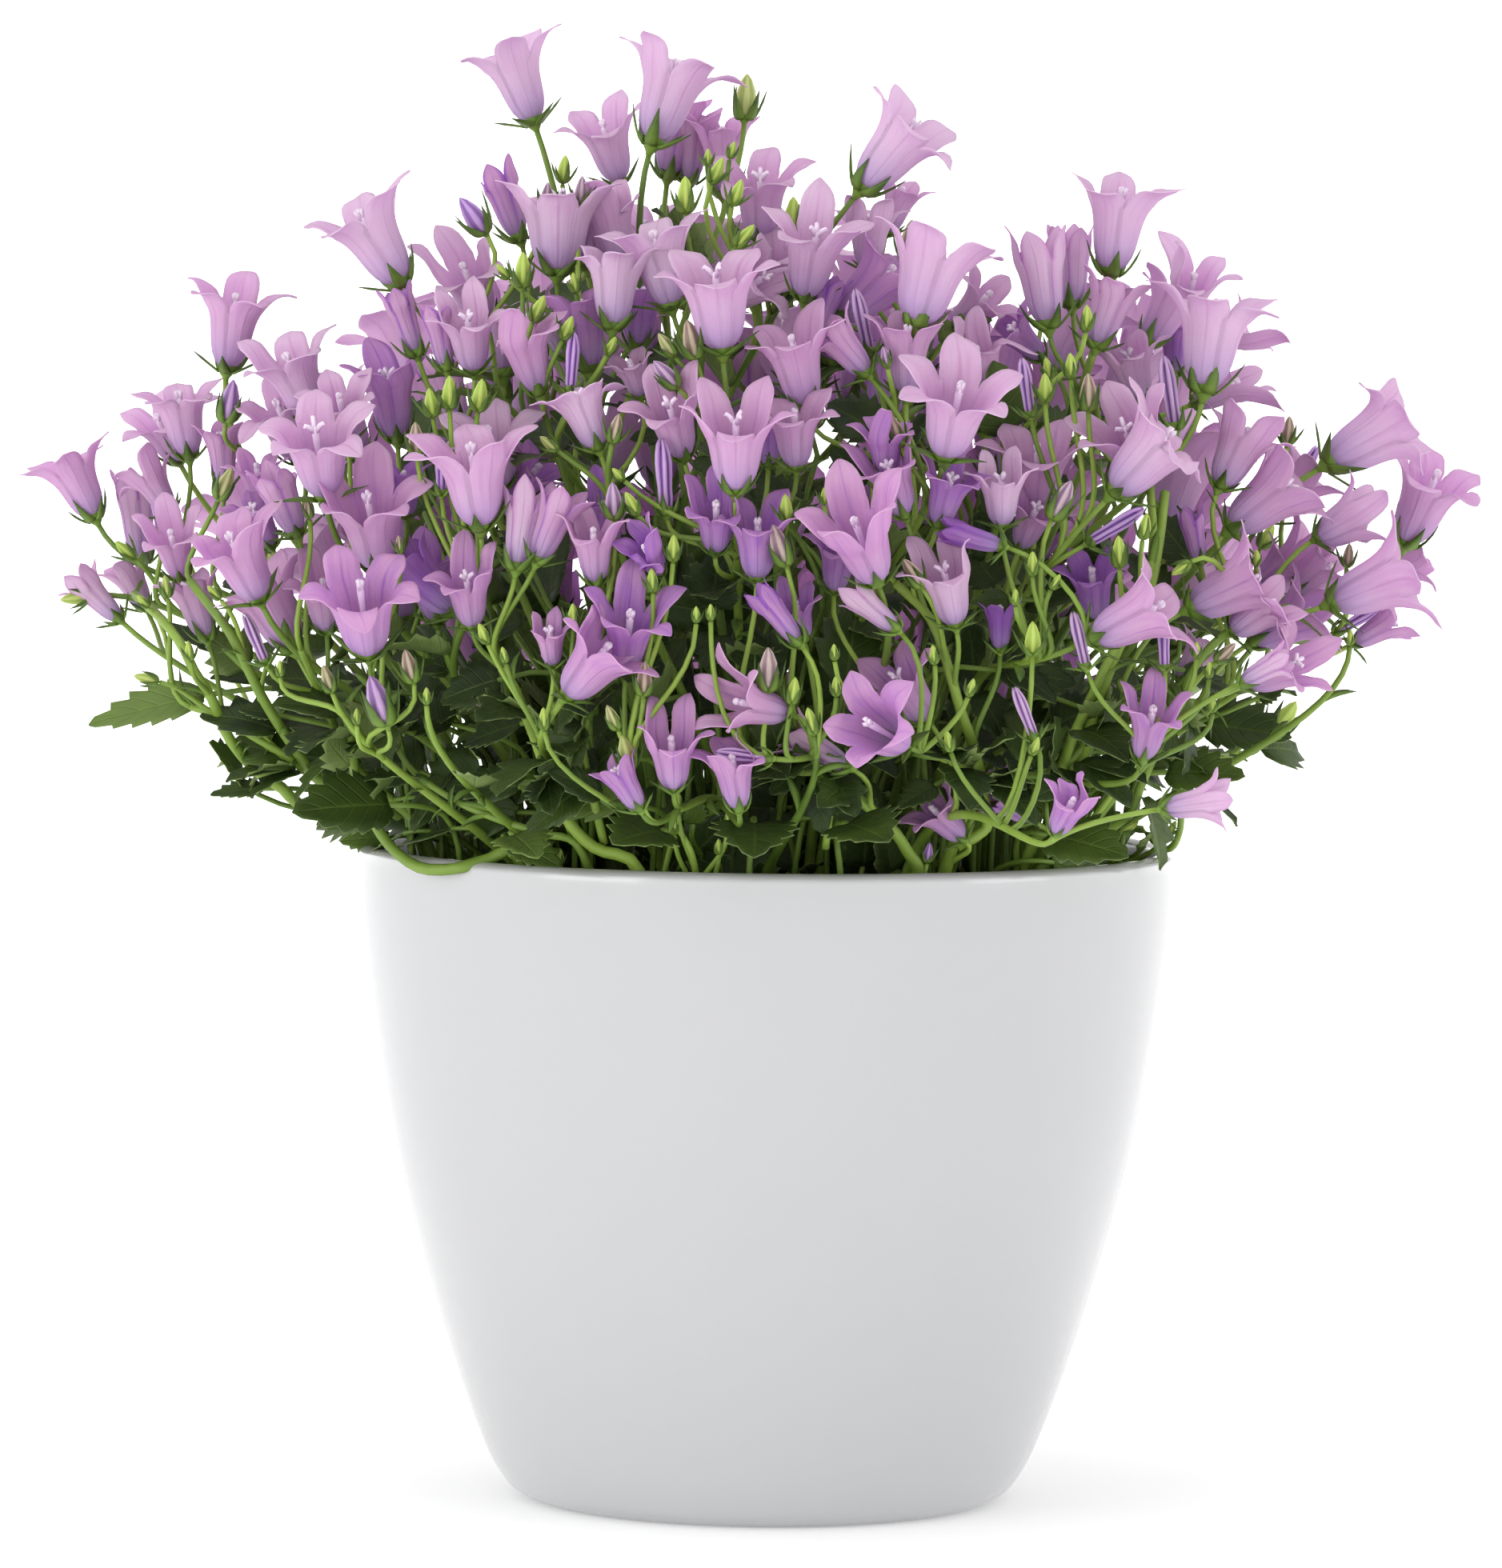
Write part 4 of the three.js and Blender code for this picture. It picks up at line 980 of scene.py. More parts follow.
def bell_shells(bells, t, w, columns):
    """Tube and lobes as one thin shell, with the values that the petal's finish reads: along
    runs from 0 to 1 up the tube and on to 2 up a lobe, across from -1 to 1 over a petal, and
    round counts the petals."""
    n = len(bells["base"])
    petal = np.arange(PETALS * columns) / columns
    across = np.linspace(-1, 1, columns + 1)
    grids = (bell_tubes(bells, t, columns), bell_lobes(bells, w, columns))
    points = np.concatenate([grid.reshape(n, -1, 3) for grid in grids], 1)
    faces = bell_faces(len(t), len(w), columns)

    def both(on_tube, on_lobes):
        """One value for each point of tube and lobes, for the outside and the inside."""
        on_tube = np.broadcast_to(on_tube, (len(t), len(petal)))
        on_lobes = np.broadcast_to(on_lobes, (PETALS, len(w), len(across)))
        return np.tile(np.concatenate([on_tube.ravel(), on_lobes.ravel()]), 2)[None]

    return part(
        *thicken(points, faces), "petal",
        across=both(petal % 1 * 2 - 1, across),
        along=both(t[:, None], 1 + w[:, None]),
        round=both(petal, across * 0.5 + 0.5 + np.arange(PETALS)[:, None, None]),
        inside=np.repeat([0.0, 1.0], points.shape[1])[None],
        tone=bells["tone"][:, None],
        closed=np.clip(1 - bells["opening"], 0, 1)[:, None],
    )


# %% Tubes and narrow blades
def tubes(lines, radii, sides, finish, **values):
    """Round tubes along lines (copies, rows, 3): rings square to the line at each row."""
    tangent = unit(np.gradient(lines, axis=1))
    middle = tangent.mean(1, keepdims=True)
    guide = unit(np.cross(middle, [0.31, 0.9, 0.22]))
    first = square_to(np.broadcast_to(guide, tangent.shape), tangent)
    second = np.cross(tangent, first)
    angle = np.linspace(0, 2 * np.pi, sides, endpoint=False)[:, None]
    ring = np.cos(angle) * first[:, :, None] + np.sin(angle) * second[:, :, None]
    radii = np.broadcast_to(radii, lines.shape[:2])
    points = lines[:, :, None] + ring * radii[..., None, None]
    n, rows = lines.shape[:2]
    return part(points.reshape(n, -1, 3), tube_faces(rows, sides), finish, **values)


def blades(centres, sideways, widths, thickness, finish, **values):
    """Narrow flat blades, four-sided across: centre lines (copies, rows, 3)."""
    tangent = unit(np.gradient(centres, axis=1))
    lateral = square_to(np.broadcast_to(sideways[:, None], tangent.shape), tangent)
    facing = np.cross(lateral, tangent)
    wide = np.broadcast_to(widths, centres.shape[:2])[..., None]
    deep = np.minimum(wide, thickness)
    ring = [lateral * wide, -facing * deep, -lateral * wide, facing * deep]
    points = centres[:, :, None] + np.stack(ring, 2)
    n, rows = centres.shape[:2]
    flip = [f[:, ::-1] for f in tube_faces(rows, 4)]
    return part(points.reshape(n, -1, 3), flip, finish, **values)


# %% Sepals, cups and styles
SEPAL_ROWS = np.linspace(0, 1, 5)
CALYX_PROFILE = np.array([
    (0.4, -0.9), (0.6, -0.4), (1.0, 0.1), (1.45, 0.8), (1.65, 1.5), (1.5, 2.0), (0.9, 2.2),
])


def sepals(base, axis, size, phase, spread, length=4.7, width=1.15):
    """Five blades from under the bell: each centre line bends from outwards to its tip.
    A spread of 0 holds them upright against the bell, 1 lays them flat."""
    n = len(base)
    out = around(axis, phase[:, None] + (np.arange(PETALS) + 0.5) * PETAL_TURN)
    sideways = np.cross(axis[:, None], out).reshape(-1, 3)
    out = out.reshape(-1, 1, 3)
    up = np.repeat(axis, PETALS, 0)[:, None]
    spread = (spread[:, None] + chance.uniform(-0.16, 0.16, (n, PETALS))).reshape(-1, 1, 1)
    long = length * chance.uniform(0.85, 1.15, (n * PETALS, 1, 1))
    w = SEPAL_ROWS[:, None]
    start = out * 1.2 + up * 0.4
    knee = start + out * 1.5 + up * 0.9
    tip = start + out * (0.9 + long * np.sin(spread * 1.5)) + up * long * np.cos(spread * 1.5)
    line = (1 - w) ** 2 * start + 2 * w * (1 - w) * knee + w * w * tip
    scale = np.repeat(size, PETALS)[:, None, None]
    line = np.repeat(base, PETALS, 0)[:, None] + line * scale
    widths = width * (1 - SEPAL_ROWS**1.8) * (0.75 + 0.6 * SEPAL_ROWS * (1 - SEPAL_ROWS)) + 0.05
    along = np.repeat(SEPAL_ROWS, 4)[None]
    return blades(line, sideways, widths * scale[..., 0], 0.22, "sepal", along=along)


def turned_about(base, axis, size, profile, sides, girth=1.0, fold=0.0, twist=0.0, split=0.0):
    """Closed shapes: radius = girth * profile * (1 + fold share^0.5 cos 5a), where share is how
    far up a row lies, turned by twist * share, and raised by split * share^4 at the ridges."""
    share = np.linspace(0, 1, len(profile))[:, None]
    angle = np.linspace(0, 2 * np.pi, sides, endpoint=False)
    ridge = np.cos(PETALS * angle)
    out = around(axis, (angle + twist * share)[None])
    radius = profile[:, :1] * (1 + fold * ridge * share**0.5)
    radius = radius * np.broadcast_to(girth, len(base))[:, None, None]
    height = profile[:, 1:] + split * ridge * share**4
    points = out * radius[..., None] + axis[:, None, None] * height[..., None]
    points = base[:, None, None] + points * size[:, None, None, None]
    furrow = np.broadcast_to(0.5 - 0.5 * ridge, (len(profile), sides)).reshape(1, -1)
    along = np.broadcast_to(share, (len(profile), sides)).reshape(1, -1)
    return points.reshape(len(base), -1, 3), tube_faces(len(profile), sides), furrow, along


def calyxes(base, axis, size, girth):
    """The green cup under a bell: a small closed turned shape along the axis."""
    shape = turned_about(base, axis, size, CALYX_PROFILE, 10, girth=0.5 + 0.5 * girth)
    return part(*shape[:2], "sepal", along=shape[3] * 0.4)


def styles(bells):
    """A pillar up the middle of each bell, thicker at its top, with three short tips that are
    still upright in some flowers and curl outwards in others."""
    base, axis, size = bells["base"], bells["axis"], bells["size"][:, None, None]
    z = np.array([2.0, 6.0, 9.4, 10.8, 11.6])
    pillar = base[:, None] + axis[:, None] * z[:, None] * size
    parts = [tubes(pillar, np.array([0.4, 0.42, 0.56, 0.62, 0.5]), 7, "style")]
    out = around(axis, bells["phase"][:, None] + 0.5 + np.arange(3) * 2 * np.pi / 3)
    spread = chance.choice([0.25, 0.4, 1.0], len(base))[:, None, None, None]
    reach = np.array([0.15, 0.7, 1.3, 1.5])[:, None] * spread + 0.1
    rise = np.array([11.0, 12.0, 12.5, 12.2])
    up = axis[:, None, None] * rise[:, None]
    curl = base[:, None, None] + (out[:, :, None] * reach + up) * size[..., None]
    parts.append(tubes(curl.reshape(-1, 4, 3), np.array([0.42, 0.44, 0.38, 0.22]), 5, "style"))
    return parts


# %% Folded flowers, and everything that makes up a bell
FOLDED_LENGTH = 14.4
FOLDED_PROFILE = np.array([
    (0.5, 0.6), (1.15, 1.6), (1.3, 3.5), (1.3, 6), (1.45, 8.5), (1.5, 10.8), (1.3, 12.6),
    (0.9, 14.1), (0.3, 14.8),
])
STILL_FOLDED, WELL_OPEN = 0.15, 0.65


def folded_flowers(bells):
    """Flowers that haven't opened yet: slender, with five pleats that twist a little."""
    base, axis, size = bells["base"], bells["axis"], bells["size"] * 0.95
    points, faces, furrow, along = turned_about(
        base, axis, size, FOLDED_PROFILE, 40, fold=0.34, twist=0.5, split=1.2
    )
    tone = np.clip(0.8 + bells["tone"] * 0.3, 0, 1)[:, None]
    return part(points, faces, "bud", across=furrow, along=along, tone=tone)


def chosen(bells, which):
    """The rows of every list of a set of bells that a mask or index picks."""
    return {key: values[which] for key, values in bells.items()}


def bell_parts(bells, detail=FINE_BELL):
    """Shells or folded flowers, then cups, sepals, and styles in the bells that are well open."""
    parts = []
    opened = chosen(bells, bells["opening"] > STILL_FOLDED)
    folded = chosen(bells, bells["opening"] <= STILL_FOLDED)
    if len(opened["base"]):
        parts.append(bell_shells(opened, *detail))
    if len(folded["base"]):
        parts.append(folded_flowers(folded))
    base, axis, size = bells["base"], bells["axis"], bells["size"]
    parts.append(calyxes(base, axis, size, bells["girth"]))
    parts.append(sepals(base, axis, size, bells["phase"], bells["spread"]))
    well_open = chosen(bells, bells["opening"] > WELL_OPEN)
    if len(well_open["base"]):
        parts += styles(well_open)
    return parts


# %% [markdown]
# ## Placing each bell
# A flower of the CAD model is read from its node: its mesh gathers many triangles at the bell's
# foot and at the middle of its floor, and those two points give base, axis and size. Every
# other flower stands where its pixels say, with its mouth on the mound or by the rim. A pixel
# doesn't give the turn of a bell about its axis, and a bell that leans towards the viewer looks
# shorter than it is. So a few sizes and many turns are tried, the pair that brings the lobe tips
# nearest to those in the photograph is chosen, and then each tip that is seen is moved the rest.

# %% Reading the CAD flowers
CAD_FLOOR = 3.8
CAD_FLOWERS_SEEN = 24


def read_flower(name):
    """The two most repeated corners of the node's triangles: the lower one is the foot."""
    mesh = nodes[name].data
    corners = np.empty(len(mesh.vertices) * 3, np.float32)
    mesh.vertices.foreach_get("co", corners)
    corners = np.round(corners.reshape(-1, 3) / MM, 3)
    points, times = np.unique(corners, axis=0, return_counts=True)
    first, second = sorted(points[np.argsort(times)[-2:]], key=lambda point: point[2])
    along = second - first
    return first, unit(along), norm(along) / CAD_FLOOR


cad_flowers = sorted((n for n in nodes if n.startswith("flower_")), key=lambda n: int(n.split("_")[1]))
cad_base, cad_axis, cad_size = (np.array(a) for a in zip(*map(read_flower, cad_flowers)))
base_pixels = np.array([row[0] for row in BELLS], float)
gaps = norm(pixel_of(cad_base)[:, None] - base_pixels[None], axis=-1)
row_of_flower = {i: int(gaps[i].argmin()) for i in range(CAD_FLOWERS_SEEN)}
print("CAD flowers", len(cad_flowers), "sizes", cad_size.round(2)[:6])
print("pixel gaps", gaps[:CAD_FLOWERS_SEEN].min(1).round(1))


# %% Fitting a bell to its pixels
PHASES = np.radians(np.arange(0, 72, 3.0))
SIZES_TRIED = 6
SIZE_RANGE, LARGEST = (0.6, 1.25), 1.45
TIP_SHIFT_LIMIT = 6.0
LIP_FOLD = 4.4
LOW_MOUTH = 124.0
UNSEEN_LOOK = (30, 80, 100)
BELL_KEYS = ("base", "axis", "size", "phase", "girth", "opening", "tone", "tips")


def fitted(anchor, axis, sizes, from_mouth, tone, girth, opening, *lobes):
    """Tries every size and turn: the cost is the squared distance, in pixels, from each tip
    that is seen to the nearest tip of the bell. The anchor lies from_mouth * size up the axis.
    A lobe that points at the viewer and has no pixel is folded down like a lip."""
    tone, girth, opening = tone / 100, girth / 100, opening / 100
    size, phase = (a.ravel() for a in np.meshgrid(sizes, PHASES, indexing="ij"))
    axes = np.broadcast_to(axis, (len(size), 3))
    bases = anchor - axes * (from_mouth * size)[:, None]
    tips = lobe_tips(bases, axes, size, phase, np.full(len(size), opening))
    if not lobes:
        best = chance.integers(len(PHASES)) + len(PHASES) * (len(sizes) // 2)
    else:
        apart = norm(pixel_of(tips)[:, :, None] - np.array(lobes, float), axis=-1)
        best = (apart.min(1) ** 2).sum(1).argmin()
    tips = tips[best].copy()
    free = list(range(PETALS))
    for pixel in lobes:
        nearest = min(free, key=lambda i: norm(pixel_of(tips[i]) - pixel))
        free.remove(nearest)
        shift = point_at(pixel, tips[nearest][1]) - tips[nearest]
        shift *= min(1, TIP_SHIFT_LIMIT / max(norm(shift), 1e-6))
        tips[nearest] += shift
    for i in free:
        height = (tips[i] - bases[best]) @ axis
        out = unit(tips[i] - bases[best] - axis * height)
        tips[i] -= axis * size[best] * LIP_FOLD * opening * max(-out[1] - 0.5, 0)
    return bases[best], axis, size[best], phase[best], girth, opening, tone, tips


fits = []
for i, axis in enumerate(cad_axis):
    look = BELLS[row_of_flower[i]][4:] if i in row_of_flower else UNSEEN_LOOK
    fits.append(fitted(cad_base[i], axis, cad_size[i : i + 1], 0, *look))

for i, (foot, mouth_pixel, lean, layer, *look) in enumerate(BELLS):
    if i in row_of_flower.values():
        continue
    mouth = on_mound(mouth_pixel, layer)
    if mouth[2] < LOW_MOUTH:
        mouth = beside_rim(mouth_pixel, RIM_INSIDE + max(-layer, 0) * LAYER_STEP)
    seen = mouth - point_at(foot, mouth[1])
    lean /= 100
    flat = np.sqrt(1 - lean * lean)
    whole = FOLDED_LENGTH if look[2] <= STILL_FOLDED * 100 else MOUTH_HEIGHT
    expected = np.clip(norm(seen) / (whole * flat), *SIZE_RANGE)
    axis = unit(unit(seen) * flat + unit(EYE - mouth) * lean)
    shares = np.linspace(0.92, 1.12 + 0.6 * max(lean, 0), SIZES_TRIED)
    fits.append(fitted(mouth, axis, np.minimum(expected * shares, LARGEST), whole, *look))


def finished(bells):
    """The lists as arrays, with each bell's chance differences added."""
    bells = {key: np.array(values, float) for key, values in bells.items()}
    n = len(bells["base"])
    # Bells higher on the mound get a paler tone: painted light from the lamp overhead, which lights the
    # top most.
    painted_top_light = np.interp(bells["base"][:, 2], (125, 215), (0.07, -0.1))
    bells["tone"] = np.clip(bells["tone"] + painted_top_light + chance.normal(0, 0.04, n), -0.1, 1)
    bells["girth"] = 0.74 + 0.35 * bells["girth"]
    bells["lobe_width"] = chance.uniform(-0.3, 0.25, n)
    bells["curl"] = np.radians(chance.uniform(85, 125, n))
    bells["wave"] = chance.uniform(0, 6, (n, PETALS))
    bells["spread"] = chance.uniform(0.12, 0.8, n)
    return bells


front_bells = finished(dict(zip(BELL_KEYS, zip(*fits))))
print("bells", len(fits), "sizes", front_bells["size"].min(), front_bells["size"].max())

# %% [markdown]
# ## The back and the sides
# The photograph shows one side, and a real plant flowers all round. Further bells are spread
# over the back half of the mound: heights fall evenly and each next one turns by the golden
# angle, which never lines up. They stay a little inside the outline seen from the front, and
# clear of the bells that are there already and of the low flanks.

# %% Bells behind the outline
GOLDEN_ANGLE = np.pi * (3 - np.sqrt(5))
BACK_SCALE = 0.86
BELL_GAP = 13.0
FLANK_FROM, FLANK_TOP = 58.0, 152.0


def golden(count, lowest):
    """Directions spread evenly over the dome: z = 1 - (1 - lowest) * k / count."""
    k = np.arange(count) + 0.5
    z = 1 - (1 - lowest) * k / count
    flat = np.sqrt(1 - z * z)
    return np.stack([flat * np.cos(k * GOLDEN_ANGLE), flat * np.sin(k * GOLDEN_ANGLE), z], -1)


def apart_from(points, others, gap):
    """Which points lie further than a gap from every one of the others."""
    return norm(points[:, None] - others[None], axis=-1).min(1) > gap


directions = golden(250, 0.1)
directions = directions[directions[:, 1] > -0.02]
depth = chance.uniform(0.8, 1.03, (len(directions), 1))
mouths = MOUND_CENTRE + directions * MOUND_HALF * np.array([BACK_SCALE, 1.0, BACK_SCALE]) * depth
front_mouths = front_bells["base"] + front_bells["axis"] * BELL_LENGTH
flank = (np.abs(mouths[:, 0]) > FLANK_FROM) & (mouths[:, 2] < FLANK_TOP)
keep = apart_from(mouths, front_mouths, BELL_GAP) & ~flank
mouths, directions = mouths[keep], directions[keep]
n = len(mouths)
lean = unit(directions / MOUND_HALF) * 0.8 + [0, 0, 0.55] + chance.normal(0, 0.25, (n, 3))
back_axis = unit(lean)
back_size = chance.uniform(0.95, 1.3, n)
back_bells = {
    "base": mouths - back_axis * (BELL_LENGTH * back_size)[:, None],
    "axis": back_axis,
    "size": back_size,
    "phase": chance.uniform(0, 1.25, n),
    "girth": chance.uniform(0.65, 0.95, n),
    "opening": np.where(chance.random(n) < 0.85, 1.0, chance.uniform(0.1, 0.5, n)),
    "tone": np.clip(chance.normal(0.33, 0.16, n), 0.05, 0.9),
}
back_bells["tips"] = lobe_tips(*(back_bells[key] for key in ("base", "axis", "size", "phase", "opening")))
back_bells["tips"] += chance.normal(0, 0.7, back_bells["tips"].shape)
back_bells = finished(back_bells)
print("bells behind", n)

# %% [markdown]
# ## Stems
# Shoots rise from the soil, lean outwards and end in line with a flower. The fifteen stems of
# the CAD model are drawn again on their own curves, smoother and thinner towards the top. Some
# stems that show at the rim follow their pixels. Every other flower and bud is joined to the
# nearest shoot below it by a thin stalk, or gets a shoot of its own if none is near.

# %% The main stems
# The flowers, by their number from 0, and the bud that each CAD stem carries.
CAD_SHOOTS = [
    [0, 1], [2, 3], [4, 5], [6, 7], [8, 9, "bud_1"], [10, 11], [12, 13], [14, 15], [16, 17],
    [18, 19, 20], [21, 22], [23, "bud_2"], [24, 25], [26, 27], [28, 29],
]
ROOT_HEIGHT = 92.0
ROOT_SHARE = 0.42
CAD_BUD_LENGTH = 9.0
STEM_STEPS = np.linspace(0, 1, 22)
samples = []


def read_bud(name):
    """A bud's triangles gather at its foot and its tip."""
    foot, along, size = read_flower(name)
    return foot, along, size * CAD_FLOOR / CAD_BUD_LENGTH


def stem_line(base, axis, t=STEM_STEPS):
    """A cubic curve from the root, first upwards, then bending into the flower's axis."""
    root = np.array([ROOT_SHARE * base[0], ROOT_SHARE * base[1], ROOT_HEIGHT])
    lift = root + [0.22 * root[0], 0.22 * root[1], 44]
    return bezier(root, lift, base - axis * 24.35, base - axis * 0.35, t[:, None])


def branch_line(stem, order, base, axis):
    """A branch leaves its stem at 0.42 + 0.13 * order of the way, along the stem."""
    place = 0.42 + 0.13 * order
    before, start, after = stem_line(*stem, np.array([place - 1e-3, place, place + 1e-3]))
    leave = start + unit(after - before) * 16
    return bezier(start, leave, base - axis * 16.35, base - axis * 0.35, STEM_STEPS[:, None])


def stem_tube(line, thick, thin, tone):
    """A stem that tapers along its line, from which stalks and leaves may start later."""
    samples.append(line)
    radii = mix(thick, thin, np.linspace(0, 1, len(line)))
    return tubes(line[None], radii, 8, "stem", tone=tone)


for number, shoot in enumerate(CAD_SHOOTS, 1):
    ends = []
    for end in shoot:
        ends.append(read_bud(end)[:2] if isinstance(end, str) else (cad_base[end], cad_axis[end]))
    parts = [stem_tube(stem_line(*ends[0]), 1.1, 0.5, chance.uniform(0.2, 0.8))]
    for order, end in enumerate(ends[1:]):
        branch = branch_line(ends[0], order, *end)
        parts.append(stem_tube(branch, 0.7, 0.45, chance.uniform(0.2, 0.8)))
    piece(f"shoot_{number}", parts, [f"stem_{number}"])
print("main stems", len(CAD_SHOOTS))

# %% Stems that show near the rim
# The radius of each in millimetres, and the pixels that it passes.
RIM_STEMS = [
    (0.9, (428, 880), (440, 923), (443, 963), (460, 1013), (486, 1056), (523, 1084), (566, 1086),
     (612, 1074), (645, 1069)),
    (0.6, (483, 907), (513, 960), (566, 999), (619, 1023), (678, 1042), (725, 1061)),
    (0.9, (627, 836), (643, 859), (656, 892), (672, 933), (688, 983), (712, 1029), (745, 1061),
     (795, 1082)),
    (0.5, (692, 880), (692, 930), (692, 976)),
    (0.9, (168, 743), (200, 772), (226, 805), (244, 841), (264, 872), (284, 919), (314, 957),
     (351, 984), (388, 1011)),
    (0.7, (239, 884), (279, 897), (314, 919), (364, 949), (401, 977)),
    (0.9, (238, 727), (275, 774), (293, 801), (329, 874), (371, 939), (403, 977)),
    (0.7, (376, 812), (396, 857), (421, 914), (438, 954)),
    (0.9, (1006, 930), (1026, 960), (1066, 993), (1112, 1033), (1135, 1066), (1147, 1094)),
    (0.9, (1119, 729), (1163, 774), (1186, 838), (1201, 890), (1219, 941), (1233, 1019), (1228, 1039),
     (1198, 1056)),
    (0.6, (1234, 972), (1292, 970), (1327, 959), (1349, 939), (1367, 912), (1394, 879), (1400, 850)),
    (0.8, (1466, 901), (1446, 937), (1425, 984), (1414, 1015), (1389, 1035), (1367, 1055), (1351, 1075),
     (1308, 1079)),
    (0.6, (1479, 959), (1476, 995), (1474, 1040), (1456, 1062)),
    (0.5, (841, 1033), (854, 1046), (868, 1082)),
    (0.6, (736, 863), (733, 900), (729, 940)),
    (0.6, (1610, 757), (1527, 794), (1481, 855), (1460, 905)),
    (0.5, (1537, 865), (1500, 878), (1465, 893)),
    (0.5, (960, 953), (1000, 966), (1039, 973)),
    (0.5, (1134, 932), (1180, 950), (1219, 977)),
    (0.9, (1456, 615), (1448, 680), (1434, 745), (1402, 800), (1375, 870), (1352, 950), (1335, 1040)),
    (0.8, (1437, 605), (1441, 680), (1428, 745), (1392, 812), (1360, 880), (1330, 950), (1318, 1030)),
]
DRAPED = 0
DRAPE_PIXELS = (560, 640)
OVER_RIM, LOW_END, SOIL_HEIGHT = 114.5, 124.0, 99.0


def ring_at(order, pixel):
    """The draped stem lies outside the rim up to pixel 560 and is inside it at 640."""
    if order != DRAPED:
        return RIM_INSIDE
    return np.interp(pixel[0], DRAPE_PIXELS, (RIM_OUTSIDE, RIM_INSIDE))


def rim_stem_line(order, pixels):
    """Through its pixels, from the lowest one up. A stem whose lowest point is past the rim
    comes over it, and one that ends low comes out of the soil."""
    line = np.array([beside_rim(pixel, ring_at(order, pixel)) for pixel in pixels])
    if line[-1, 2] < line[0, 2]:
        line = line[::-1]
    lowest = line[0]
    reach = norm(lowest[:2])
    outwards = lowest[:2] / reach
    if reach > RIM_INSIDE + 2:
        line = np.vstack([[*outwards * RIM_INSIDE, OVER_RIM], line])
    if lowest[2] < LOW_END:
        line = np.vstack([[*outwards * min(55, reach), min(SOIL_HEIGHT, lowest[2])], line])
    return spline(line, 28)


rim_parts = []
for order, (radius, *pixels) in enumerate(RIM_STEMS):
    line = rim_stem_line(order, pixels)
    rim_parts.append(stem_tube(line, radius * 1.25, radius * 0.85, chance.uniform(0.4, 1)))
piece("rim_stems", rim_parts)
print("rim stems", len(rim_parts))

# %% [markdown]
# ## Buds
# Buds stand between the bells at every stage: lime green and held by upright sepals, then
# brown-striped, then purple and ready to open. A bud is a small spindle with five ribs, turned
# round the line between its two pixels.

# %% The bud as a surface
BUD_PROFILE = np.array([
    (0.3, 0), (1.2, 0.5), (1.85, 2.0), (2.0, 3.8), (1.6, 6.0), (0.9, 8.0), (0.15, 9.0),
])
SAME_BUD_PIXELS = 48
LOW_BUD = 126.0
CAD_BUDS = ("bud_1", "bud_2")


def bud_parts(base, axis, size, tone):
    """A ribbed spindle with five upright sepals from its foot."""
    n = len(base)
    spindle = turned_about(base, axis, size, BUD_PROFILE, 15, fold=0.13, twist=0.2)
    points, faces, furrow, along = spindle
    shells = part(points, faces, "bud", across=furrow, along=along, tone=tone[:, None])
    leafy = sepals(base, axis, size, np.zeros(n), chance.uniform(0.08, 0.24, n), 6.8, 1.5)
    return [shells, leafy, calyxes(base, axis, size * 0.9, np.full(n, 0.8))]


for name in CAD_BUDS:
    base, axis, size = (np.array([a]) for a in read_bud(name))
    piece(f"crown_{name}", bud_parts(base, axis, size, np.array([0.2])), [name])

# %% All the other buds
bud_base, bud_axis, bud_size, bud_tone = [], [], [], []
cad_bud_pixels = pixel_of(np.array([read_bud(name)[0] for name in CAD_BUDS]))
for foot, tip, *more in BUDS:
    tone, layer = (*more, 0, 0)[:2]
    if norm(cad_bud_pixels - foot, axis=1).min() < SAME_BUD_PIXELS:
        continue
    base = on_mound(foot, layer)
    if base[2] < LOW_BUD:
        base = beside_rim(foot)
    along = point_at(tip, base[1]) - base
    bud_base.append(base)
    bud_axis.append(unit(along + [0, -0.25 * norm(along), 0]))
    bud_size.append(np.clip(norm(along) / CAD_BUD_LENGTH, 0.3, 1.0))
    bud_tone.append(tone / 100)
back_spots = golden(120, 0.0)
back_spots = back_spots[back_spots[:, 1] > 0.05]
spots = MOUND_CENTRE + back_spots * MOUND_HALF * [0.84, 0.98, 0.84]
spots = spots[apart_from(spots, back_bells["base"] + back_bells["axis"] * 9, 8.0)]
bud_base = np.array([*bud_base, *spots])
bud_axis = np.array([*bud_axis, *unit(unit(spots - MOUND_CENTRE) + [0, 0, 1.2])])
bud_size = np.array([*bud_size, *chance.uniform(0.4, 0.9, len(spots))])
bud_tone = np.array([*bud_tone, *chance.choice([0, 0, 0.1, 0.5, 0.9], len(spots))])
piece("buds", bud_parts(bud_base, bud_axis, bud_size, bud_tone))
print("buds", len(bud_base))

# %% The stalks of all the other flowers and buds
STALK_STEPS = np.linspace(0, 1, 9)
LONGEST_STALK = 18.0
INTO_CUP = 0.3
ARCH, ARCH_PAST, ARCH_BELOW = 42, 60, 132
extra_front = chosen(front_bells, slice(len(cad_flowers), None))
ends = np.concatenate([extra_front["base"], back_bells["base"], bud_base])
end_axes = np.concatenate([extra_front["axis"], back_bells["axis"], bud_axis])
stalks, shoots = [], []


def shoot_places():
    """Every point of the stems and shoots so far, and the way that its stem runs there."""
    ways = [unit(np.gradient(line, axis=0)) for line in samples]
    return np.concatenate(samples), np.concatenate(ways)


